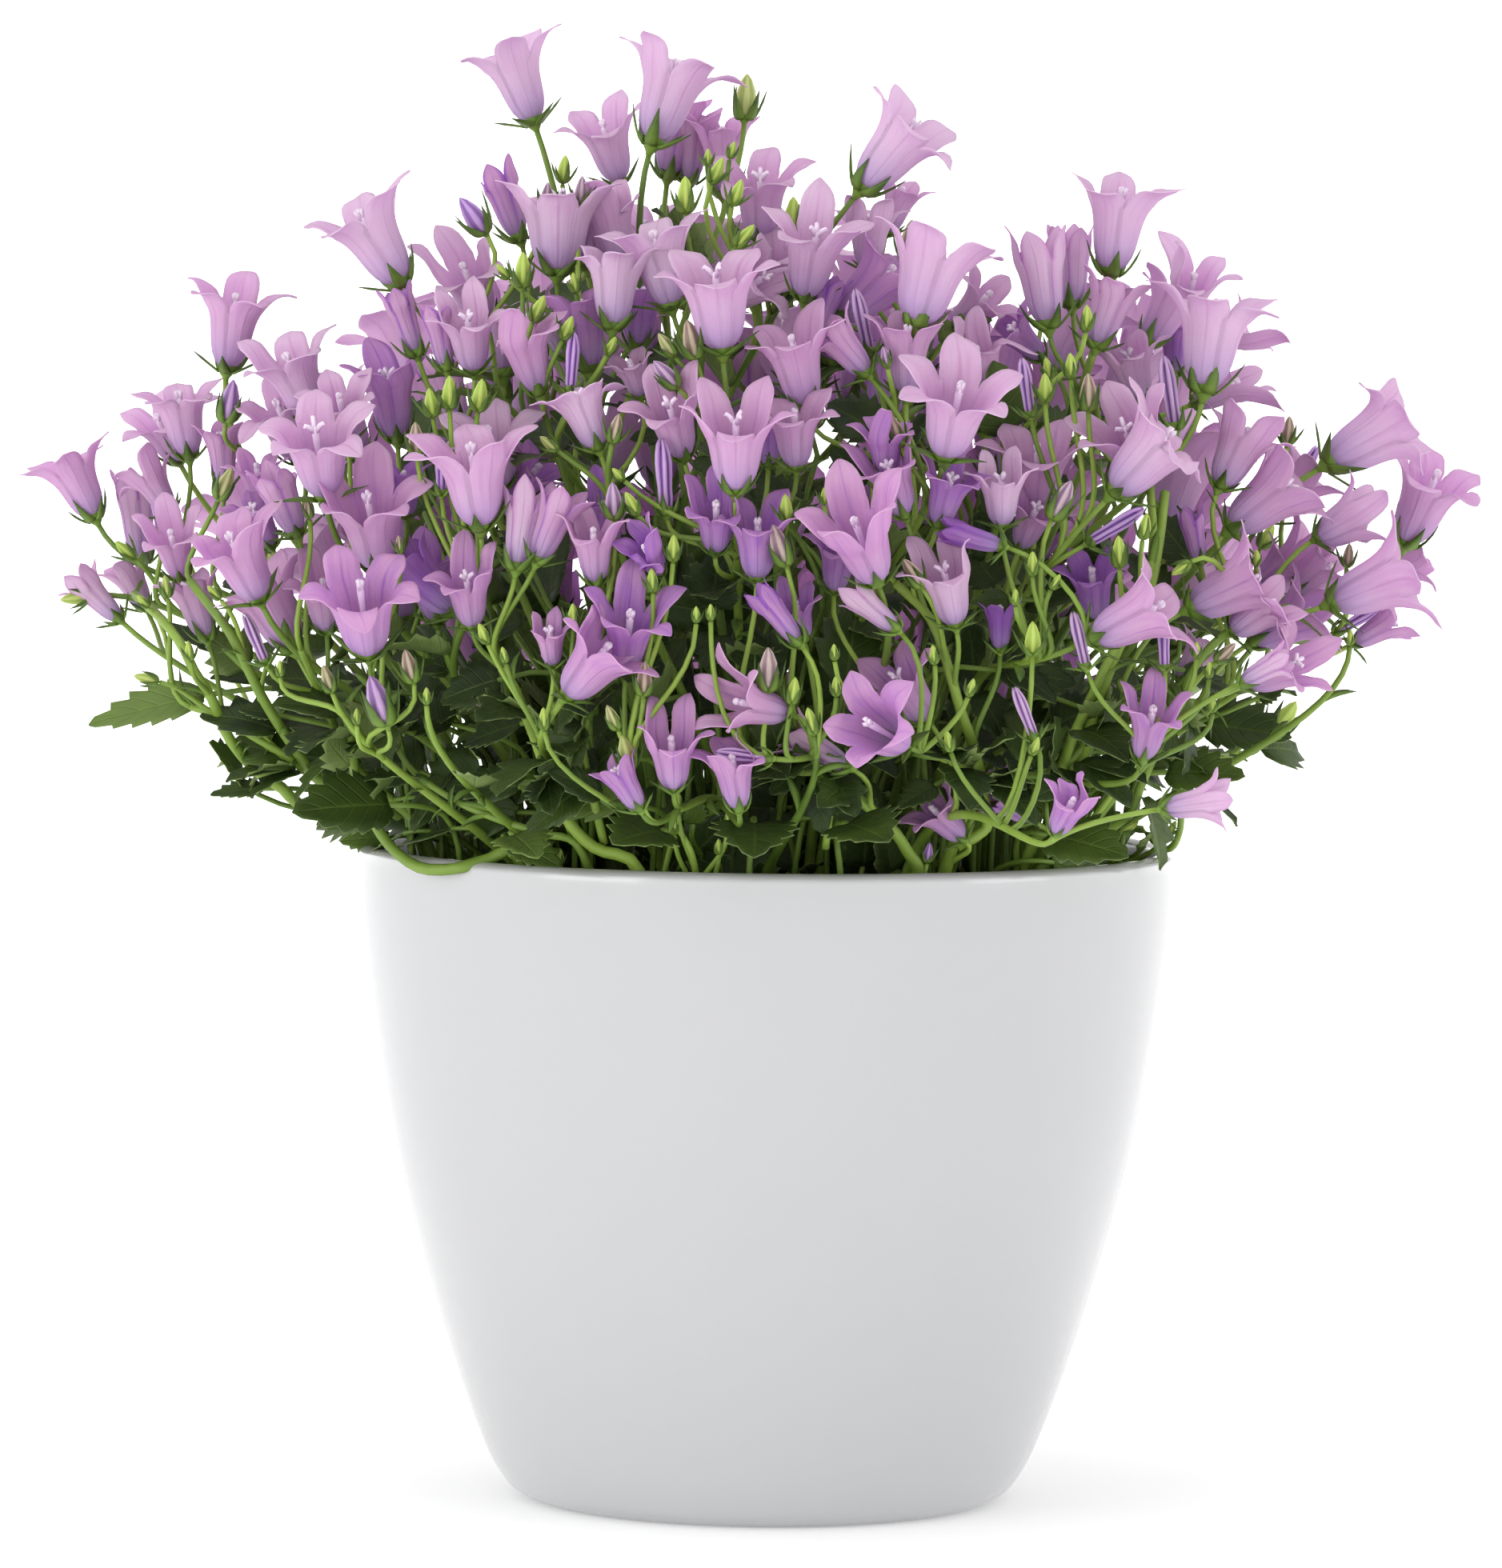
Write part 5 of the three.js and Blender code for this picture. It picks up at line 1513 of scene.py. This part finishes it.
def shoot_to(base, axis):
    """A shoot from the soil that bends into a flower's axis. One that ends low and past the
    rim rises further first, so that it arches over the pot's wall."""
    out = norm(base[:2])
    flat = base[:2] * min(ROOT_SHARE, 52 / out) + chance.normal(0, 3, 2)
    root = np.array([*flat, ROOT_HEIGHT + 4])
    climb = max(base[2] - root[2], 12)
    rise = ARCH if out > ARCH_PAST and base[2] < ARCH_BELOW else min(44, 0.45 * climb)
    lift = root + [0.22 * root[0], 0.22 * root[1], rise]
    bend = base - axis * min(24, 0.35 * climb)
    return bezier(root, lift, bend, base - axis * INTO_CUP, STEM_STEPS[:, None])


def stalk_to(base, axis, start, way):
    """A thin stalk that leaves a shoot the way it runs and bends into a flower's axis."""
    far = norm(base - start)
    leave, arrive = start + way * 0.35 * far, base - axis * 0.42 * far
    return bezier(start, leave, arrive, base - axis * INTO_CUP, STALK_STEPS[:, None])


# The nearest shoot is looked for a little below the flower, and height counts for less.
for i in chance.permutation(len(ends)):
    base, axis = ends[i], end_axes[i]
    shoot_points, ways = shoot_places()
    apart = (shoot_points - (base - axis * 10 - [0, 0, 6])) * [1.25, 1.25, 0.75]
    gap = norm(apart, axis=1) + np.where(shoot_points[:, 2] > base[2] - 5, 40, 0)
    near = gap.argmin()
    if gap[near] > LONGEST_STALK:
        shoots.append(shoot_to(base, axis))
        samples.append(shoots[-1])
    else:
        stalks.append(stalk_to(base, axis, shoot_points[near], ways[near]))
tone = chance.uniform(0.1, 0.8, (len(shoots), 1))
shoot_tubes = tubes(np.array(shoots), mix(1.0, 0.45, STEM_STEPS), 7, "stem", tone=tone)
piece("more_shoots", [shoot_tubes])
tone = chance.uniform(0.3, 1, (len(stalks), 1))
stalk_tubes = tubes(np.array(stalks), mix(0.52, 0.42, STALK_STEPS), 6, "stem", tone=tone)
piece("flower_stalks", [stalk_tubes])
print("more shoots", len(shoots), "stalks", len(stalks))

# %% [markdown]
# ## The flowers as pieces
# Each CAD flower keeps a piece of its own in its place. The rest are grouped by where they
# stand, so that no piece grows too large. Those behind are made with fewer faces.

# %% Making the flowers
MIDDLE_HALF = 25.0


def bell_groups(bells, groups, detail):
    """One piece for each group of a set of bells, which a mask picks."""
    for side, which in groups.items():
        piece(f"bells_{side}", bell_parts(chosen(bells, which), detail))
        print("bells", side, int(which.sum()))


for i, name in enumerate(cad_flowers):
    one = chosen(front_bells, slice(i, i + 1))
    piece(f"bell_{i + 1}", bell_parts(one), [name])
x = extra_front["base"][:, 0]
thirds = {"left": x < -MIDDLE_HALF, "middle": np.abs(x) <= MIDDLE_HALF, "right": x > MIDDLE_HALF}
bell_groups(extra_front, thirds, FINE_BELL)
x = back_bells["base"][:, 0]
bell_groups(back_bells, {"back_left": x < 0, "back_right": x >= 0}, PLAIN_BELL)

# %% [markdown]
# ## Leaves
# The leaves are small, round to heart-shaped and coarsely toothed, with a stalk of their own.
# Most grow low down, fill the space over the pot and lean over its rim; smaller ones sit on
# the shoots and make the dark green between the bells. A leaf is a grid along and across its
# blade. Its outline swells and narrows by one formula, the teeth push every second row of its
# edge outwards, and the blade folds a little along its midrib and droops towards its tip. A
# leaf that would hide a low flower, or stick out past the outline, is left out.

# %% The leaf as a surface
LEAF_ACROSS = np.array([-1, -0.55, 0, 0.55, 1])
LEAF_WIDEST = 0.5 / 1.4


def leaf_parts(foot, way, top, length, width, tone, droop, rows=9):
    """Half width = width / 2 * (l / m)^0.5 ((1 - l) / (1 - m))^0.9, which is 1 at l = m, with
    teeth of +-14 % by turns; height = 0.2 * |across| - droop * l^2. way is where the blade
    points and top is where its upper side faces."""
    n = len(foot)
    way = unit(way)
    top = square_to(top, way)
    side = np.cross(way, top)
    along = np.linspace(0, 1, rows)
    edge = np.abs(LEAF_ACROSS) == 1
    inner = np.clip(along, 0.02, 0.985)
    outline = (inner / LEAF_WIDEST) ** 0.5 * ((1 - inner) / (1 - LEAF_WIDEST)) ** 0.9
    tooth = np.where(np.arange(rows) % 2 == 1, 1.0, -1.0) * np.clip(4 * along * (1.1 - along), 0, 1)
    teeth = 1 + 0.14 * tooth[:, None] * edge
    forward = 0.5 / rows * tooth[:, None] * edge
    half = (width / 2)[:, None, None] * (outline[:, None] * teeth)[None]
    long = length[:, None, None]
    droop = np.broadcast_to(droop, n)[:, None, None]
    ahead = long * (along[:, None] + forward)[None]
    lift = half * np.abs(LEAF_ACROSS) * 0.2 - long * droop * (along**2)[:, None]
    wave = chance.uniform(-1, 1, (n, 1, 1)) * 0.08 * half * np.sin(along * 7)[:, None] * LEAF_ACROSS
    points = foot[:, None, None] + way[:, None, None] * ahead[..., None]
    points = points + side[:, None, None] * (half * LEAF_ACROSS)[..., None]
    points = points + top[:, None, None] * (lift + wave)[..., None]
    faces = grid_faces(rows, len(LEAF_ACROSS))
    return part(
        *thicken(points.reshape(n, -1, 3), faces), "leaf",
        along=np.tile(np.repeat(along, len(LEAF_ACROSS)), 2)[None],
        across=np.tile(LEAF_ACROSS, 2 * rows)[None],
        inside=np.repeat([0.0, 1.0], rows * len(LEAF_ACROSS))[None],
        tooth=np.tile(((tooth[:, None] > 0.3) & edge).ravel(), 2)[None],
        tone=np.broadcast_to(tone, n)[:, None],
    )


def leaf_stalks(root, foot, way, radius=0.5):
    """A thin curve up from the root that arrives along the blade."""
    climb = np.maximum(foot[:, 2:] - root[:, 2:], 0)
    run = norm(foot - root, axis=1, keepdims=True) * 0.4
    lift = root + np.array([0, 0, 0.95]) * climb
    t = STALK_STEPS[:, None]
    line = bezier(root[:, None], lift[:, None], (foot - unit(way) * run)[:, None], foot[:, None], t)
    return tubes(line, mix(radius * 1.2, radius, STALK_STEPS), 5, "stem", tone=0.3)


def leaf_piece(name, root_share, foot, way, *looks, **more):
    """Blades on stalks as one piece: each root lies at a share of its foot's distance from the
    axis."""
    root = foot * [root_share, root_share, 0] + [0, 0, ROOT_HEIGHT + 6]
    blade = leaf_parts(foot, way, *looks, **more)
    piece(name, [blade, leaf_stalks(root, foot, way, 0.45)])
    print("leaves", len(foot))


# %% The leaves of the CAD model
# Root, foot and tip of each, in millimetres, and its width.
CAD_LEAVES = [
    ((-52, -12), (-94, -22, 136), (-113, -21, 129.5), 8),
    ((-50, -34), (-62, -43, 119.5), (-77, -51, 117.5), 13),
    ((-38, -48), (-41, -61, 116), (-37, -77, 112.8), 9),
    ((-18, -58), (-17, -68, 117.5), (-24, -82, 115.5), 11),
    ((-3, -60), (-2, -69, 119), (-2, -85, 114), 13),
    ((13, -59), (13, -68, 119), (19, -83, 116.5), 12),
    ((42, -42), (46, -52, 116.5), (58, -62, 112.8), 11),
    ((58, -8), (73, -14, 133), (87, -19, 130), 11),
    ((54, -26), (66, -36, 126), (78, -43, 125), 9),
    ((-58, 14), (-76, 16, 128), (-94, 19, 121), 14),
    ((14, 58), (16, 70, 121), (20, 88, 114), 14),
]
LEAF_TONES = [0.85, 0.25, 0.8, 0.4, 0.3, 0.3, 0.5, 0.2, 0.6, 0.4, 0.4]
TOWARDS_VIEWER = [0, -0.75, 0.65]
for i, (root, foot, tip, width) in enumerate(CAD_LEAVES):
    root = np.array([[*root, ROOT_HEIGHT]], float)
    foot, tip = np.array([foot], float), np.array([tip], float)
    way = tip - foot + [0, 0, 0.12 * norm(tip - foot)]
    long = norm(tip - foot, axis=1)
    top = np.array([TOWARDS_VIEWER if foot[0, 1] < 0 else [0, 0, 1.0]])
    blade = leaf_parts(foot, way, top, long, np.array([float(width)]), LEAF_TONES[i], 0.08, rows=13)
    piece(f"rosette_leaf_{i + 1}", [blade, leaf_stalks(root, foot, way)], [f"leaf_{i + 1}"])
print("CAD leaves", len(CAD_LEAVES))

# %% The leaves seen at the rim
# The pixel of the foot and of the tip of each, its width in millimetres, its tone in per cent,
# and how many millimetres it lies behind the ring of rim stems.
RIM_LEAVES = [
    ((352, 893), (300, 992), 10, 85, 6), ((304, 976), (270, 925), 7, 70, 4),
    ((329, 986), (262, 988), 5, 30, 0), ((425, 900), (322, 890), 10, 12, 10),
    ((455, 955), (352, 940), 9, 30, 12), ((343, 893), (299, 884), 4, 10, 0),
    ((505, 885), (440, 850), 10, 10, 14), ((525, 965), (445, 930), 11, 10, 12),
    ((565, 905), (498, 885), 10, 6, 14), ((600, 965), (520, 985), 11, 10, 12),
    ((545, 1015), (465, 1000), 11, 15, 10), ((490, 1000), (388, 1022), 14, 50, -2),
    ((645, 1015), (560, 1010), 10, 10, 9), ((478, 1046), (425, 1050), 5, 80, -3),
    ((505, 1042), (452, 1068), 5, 65, -4), ((345, 805), (312, 838), 5, 12, 10),
    ((395, 850), (330, 845), 9, 10, 12), ((455, 870), (385, 880), 9, 8, 12),
    ((775, 1003), (645, 980), 8, 80, 0), ((565, 1036), (490, 1046), 7, 15, 0),
    ((648, 984), (552, 976), 7, 10, 2), ((640, 1052), (700, 1078), 7, 50, -5),
    ((866, 1030), (872, 1000), 4, 60, 0), ((1210, 1036), (1182, 984), 4.5, 10, 0),
    ((1168, 982), (1122, 1006), 5.5, 30, 0), ((1394, 1056), (1390, 992), 5, 75, 8),
    ((1430, 1058), (1456, 1012), 7, 75, 2), ((1574, 872), (1604, 857), 4, 10, 0),
    ((1000, 960), (962, 990), 6, 10, 0), ((1482, 885), (1507, 921), 4, 70, -4),
    ((1249, 838), (1347, 850), 8, 2, 6), ((1430, 925), (1495, 980), 7, 15, 8),
    ((1395, 945), (1462, 972), 9, 8, 10), ((1316, 1078), (1386, 1090), 6, 55, -8),
    ((1480, 838), (1545, 862), 5, 10, 8), ((1425, 862), (1378, 828), 8, 6, 10),
    ((1322, 905), (1378, 878), 9, 4, 10), ((1352, 885), (1408, 912), 9, 5, 10),
    ((1260, 750), (1217, 752), 4, 20, 0), ((622, 850), (546, 872), 9, 5, 3),
    ((650, 905), (575, 925), 9, 5, 3), ((755, 950), (700, 956), 5, 10, 0),
]
# The same for leaves deep in the dark gaps between the flowers.
GAP_LAYER = 3.2
DARK_GAPS = [
    ((1098, 542), (1036, 500), 10, 2), ((905, 534), (786, 540), 9, 5), ((1115, 800), (1060, 760), 9, 2),
    ((1490, 705), (1446, 640), 10, 4), ((735, 392), (690, 352), 9, 15),
    ((1452, 748), (1412, 690), 9, 10), ((1335, 545), (1290, 500), 9, 20),
    ((668, 402), (640, 345), 7, 20), ((985, 650), (950, 590), 9, 5), ((1272, 692), (1225, 650), 8, 10),
    ((530, 640), (505, 560), 9, 10), ((520, 560), (505, 490), 8, 15), ((660, 700), (640, 650), 8, 10),
    ((705, 565), (650, 525), 9, 5), ((1375, 700), (1340, 665), 8, 15), ((1245, 730), (1215, 690), 8, 5),
    ((1085, 602), (1037, 560), 8, 3), ((975, 650), (930, 606), 8, 5),
]


def behind_rim(pixel, behind):
    """The point beside the rim that a pixel shows, moved back along its line of sight."""
    return point_at(pixel, beside_rim(pixel)[1] + behind)


rim_feet = [behind_rim(row[0], row[4] + 3) for row in RIM_LEAVES]
rim_tips = [behind_rim(row[1], row[4]) for row in RIM_LEAVES]
foot = np.array(rim_feet + [on_mound(row[0], GAP_LAYER) for row in DARK_GAPS])
tip = np.array(rim_tips + [on_mound(row[1], GAP_LAYER) for row in DARK_GAPS])
way = tip - foot
length = norm(way, axis=1)
width = np.array([float(row[2]) for row in RIM_LEAVES + DARK_GAPS])
tone = np.array([row[3] / 100 for row in RIM_LEAVES + DARK_GAPS])
top = chance.normal(0, 0.25, foot.shape) + TOWARDS_VIEWER
leaf_piece("rim_leaves", 0.72, foot, way, top, length, width, tone, 0.1, rows=13)

# %% The dark leaves deep inside
# Pixels: the row below which a flower is a low one, how near its mouth a leaf may show, and how
# far to the left and right the tips may reach.
LOW_FLOWER_ROW = 780
HEART_GAP, LOW_LEAF_GAP = 44, 48
HEART_TIPS = (250, 1540)
LOW_LEAF_TIPS = (330, 1470)
BEHIND = 20
HEART_LEAVES, HEART_FOOT, HEART_CLIMB, HEART_FREE = 300, 104, 50, 140
low_mouths = np.array([row[1] for row in BELLS if row[1][1] > LOW_FLOWER_ROW], float)


def shows_nothing_hidden(foot, way, length, gap):
    """Which blades lie behind the middle, or further than a gap, in pixels, from the mouths of
    the low flowers."""
    seen = pixel_of(foot[:, None] + way[:, None] * (length[:, None] * [0.1, 0.5, 0.9])[..., None])
    clear = norm(seen[:, :, None] - low_mouths, axis=-1).min((1, 2)) > gap
    return clear | (foot[:, 1] > BEHIND)


def level_directions(angle):
    """Unit vectors round the upright axis: (cos, sin, 0)."""
    return np.stack([np.cos(angle), np.sin(angle), np.zeros(len(angle))], -1)


def tip_columns(foot, way, length):
    """How far to the right in the picture the blades' tips show, in pixels."""
    return pixel_of(foot + way * length[:, None])[:, 0]


n = HEART_LEAVES
outwards = level_directions(np.arange(n) * GOLDEN_ANGLE)
height = HEART_FOOT + chance.uniform(0, 1, n) ** 1.3 * HEART_CLIMB
reach = np.sqrt(chance.uniform(0.02, 1, n)) * np.where(height < 124, 57, 50)
# The foliage bulges to the left and right just above the rim.
bulge = 0.4 * outwards[:, 0] ** 4 * np.clip((height - 112) / 8, 0, 1)
reach *= 1 + bulge * np.clip((142 - height) / 8, 0, 1)
reach *= mix(0.85, 1.15, (height - HEART_FOOT) / 46)
foot = outwards * reach[:, None] + [0, 0, 1] * height[:, None]
way = unit(outwards * 0.3 + chance.normal(0, 0.45, (n, 3)) + [0, 0, 0.7])
top = unit(outwards + chance.normal(0, 0.4, (n, 3)))
length = chance.uniform(11, 17, n)
# A low tone, darker than the leaves further out: painted shade deep inside the foliage.
tone = np.clip(chance.normal(0.06, 0.1, n), 0, 1)
width = length * chance.uniform(0.7, 0.95, n)
tips = tip_columns(foot, way, length)
clear = shows_nothing_hidden(foot, way, length, HEART_GAP)
clear &= (tips > HEART_TIPS[0]) & ((tips < HEART_TIPS[1]) | (foot[:, 2] > HEART_FREE))
leaf_piece("inner_leaves", 0.8, *(a[clear] for a in (foot, way, top, length, width, tone)), 0.2)

# %% The low leaves inside the rim
n = 120
outwards = level_directions(np.arange(n) * GOLDEN_ANGLE + chance.normal(0, 0.1, n))
reach = chance.uniform(18, 42, n)
height = 103 + chance.uniform(0, 1, n) * 34
reach = reach + np.clip(height - 112, 0, 20) * np.where(outwards[:, 1] < -0.3, 0.25, 0.7)
foot = outwards * reach[:, None] + [0, 0, 1] * height[:, None]
way = unit(outwards * 0.8 + chance.normal(0, 0.5, (n, 3)) + [0, 0, 0.35])
top = unit(outwards * 0.6 + [0, 0, 0.8] + chance.normal(0, 0.5, (n, 3)))
length = chance.uniform(8, 14, n)
tips = tip_columns(foot, way, length)
clear = shows_nothing_hidden(foot, way, length, LOW_LEAF_GAP)
clear &= (tips >= LOW_LEAF_TIPS[0]) & (tips <= LOW_LEAF_TIPS[1])
foot, way, top, length = (a[clear] for a in (foot, way, top, length))
n = len(foot)
width = length * chance.uniform(0.6, 0.95, n)
tone = np.clip(chance.normal(0.12, 0.15, n), 0, 1)
droop = chance.uniform(0.05, 0.35, n)
leaf_piece("low_leaves", 0.7, foot, way, top, length, width, tone, droop)

# %% The leaves on the shoots
SHOOT_LEAVES = 270
shoot_points, ways = shoot_places()
deep = norm((shoot_points - MOUND_CENTRE) / MOUND_HALF, axis=1)
places = np.flatnonzero((deep < 0.84) & (shoot_points[:, 2] > 122))
places = places[chance.permutation(len(places))[:SHOOT_LEAVES]]
foot = shoot_points[places]
n = len(foot)
away = unit((foot - [0, 0, 90]) * [1, 1, 0.35])
way = unit(away + chance.normal(0, 0.5, (n, 3)))
top = unit(away * 0.8 + [0, 0, 0.7] + chance.normal(0, 0.35, (n, 3)))
length = chance.uniform(8, 13, n)
foot = foot + way * 1.5
tone = np.clip(chance.normal(0.15, 0.18, n), 0, 1)
shoot_leaves = leaf_parts(foot, way, top, length, length * chance.uniform(0.55, 0.85, n), tone, 0.3)
piece("shoot_leaves", [shoot_leaves])
print("shoot leaves", n)

# %% The bracts on the stems
# Bracts are the narrow leaves high on a stem, shaped like sepals.
BRACTS = 230
places = np.flatnonzero((shoot_points[:, 2] > 118) & (deep < 0.95))
places = places[chance.permutation(len(places))[:BRACTS]]
start, along = shoot_points[places], ways[places]
across = unit(np.cross(along, chance.normal(0, 1, along.shape)))
long = chance.uniform(3.5, 7.5, (BRACTS, 1, 1))
w = SEPAL_ROWS[:, None]
curve = along[:, None] * w * (1.1 - 0.4 * w) + across[:, None] * w * (0.3 + 0.5 * w)
lines = start[:, None] + long * curve
widths = chance.uniform(0.7, 1.2, (BRACTS, 1)) * (1 - SEPAL_ROWS**2) * (0.6 + 1.2 * SEPAL_ROWS) + 0.04
spent = np.repeat(SEPAL_ROWS * 0.8, 4)[None]
piece("bracts", [blades(lines, np.cross(along, across), widths, 0.2, "sepal", along=spent)])
print("bracts", BRACTS)

# %% [markdown]
# ## Floor, light and picture
# A plain white floor runs far out and curves up at its edge. A white sky gives soft light
# from all round, a large lamp overhead lights the bells from above, and a lamp to each side, a
# little in front, brightens the pot's sides and the petals. The view is left plain, so the
# colours stay as chosen.

# %% The stage
# The floor's radii and heights in millimetres.
SWEEP = [(10, 0), (500, 0), (1200, 0), (2600, 0), (3000, 30), (3300, 140), (3500, 360), (3560, 800)]


def floor_finish():
    """Matt white with the faintest unevenness, glowing more the further it runs."""
    f = Finish("floor", 0.9, 0.1, Emission_Strength=1.0)
    tint = f.noise(f.place(3), 2.0)
    apart = f.node("ShaderNodeVectorMath", {"operation": "LENGTH"})
    f.tree.links.new(f.place(), apart.inputs[0])
    far = ((Value(f.tree, apart.outputs["Value"]) - 0.3) / 1.5).clamp()
    glow = f.blend((0.24, 0.24, 0.24), (1, 1, 1), far)
    set_input(f.tree, f.shader.inputs["Emission Color"], glow)
    f.paint(f.blend((0.9, 0.9, 0.9), (0.88, 0.88, 0.885), tint))


floor_finish()
sweep_points, sweep_faces = turned(SWEEP, 64)
face_up = [f[:, ::-1] for f in sweep_faces[:2]]
show("floor", mesh_of("floor", [part(sweep_points, face_up, "floor")]))

world = bpy.data.worlds.new("studio")
bpy.context.scene.world = world
world.use_nodes = True
sky = world.node_tree.nodes["Background"].inputs
sky["Color"].default_value = (1, 1, 1, 1)
sky["Strength"].default_value = 0.8


def lamp(name, place, target, size, watts):
    """A square area lamp at a place, in metres, that points at a target."""
    light = bpy.data.lights.new(name, "AREA")
    light.size = size
    light.energy = watts
    back = unit(np.subtract(place, target).astype(float))
    side = unit(np.cross([0.01, 0, 1.0], back))
    show(name, light).matrix_world = stand(place, side, np.cross(back, side), back)


lamp("left", (-1.0, -0.9, 0.4), (0, 0, 0.08), 0.7, 4.6)
lamp("right", (1.2, -0.45, 0.4), (0, 0, 0.08), 0.6, 2.3)
lamp("top", (-0.15, -0.1, 1.7), (0, 0, 0.15), 1.1, 9.0)
bpy.context.scene.view_settings.view_transform = "Standard"
print("stage ready")

# %% Measuring and finishing
print("pieces", len(made), "triangles", sum(made.values()), "largest", max(made.values()))
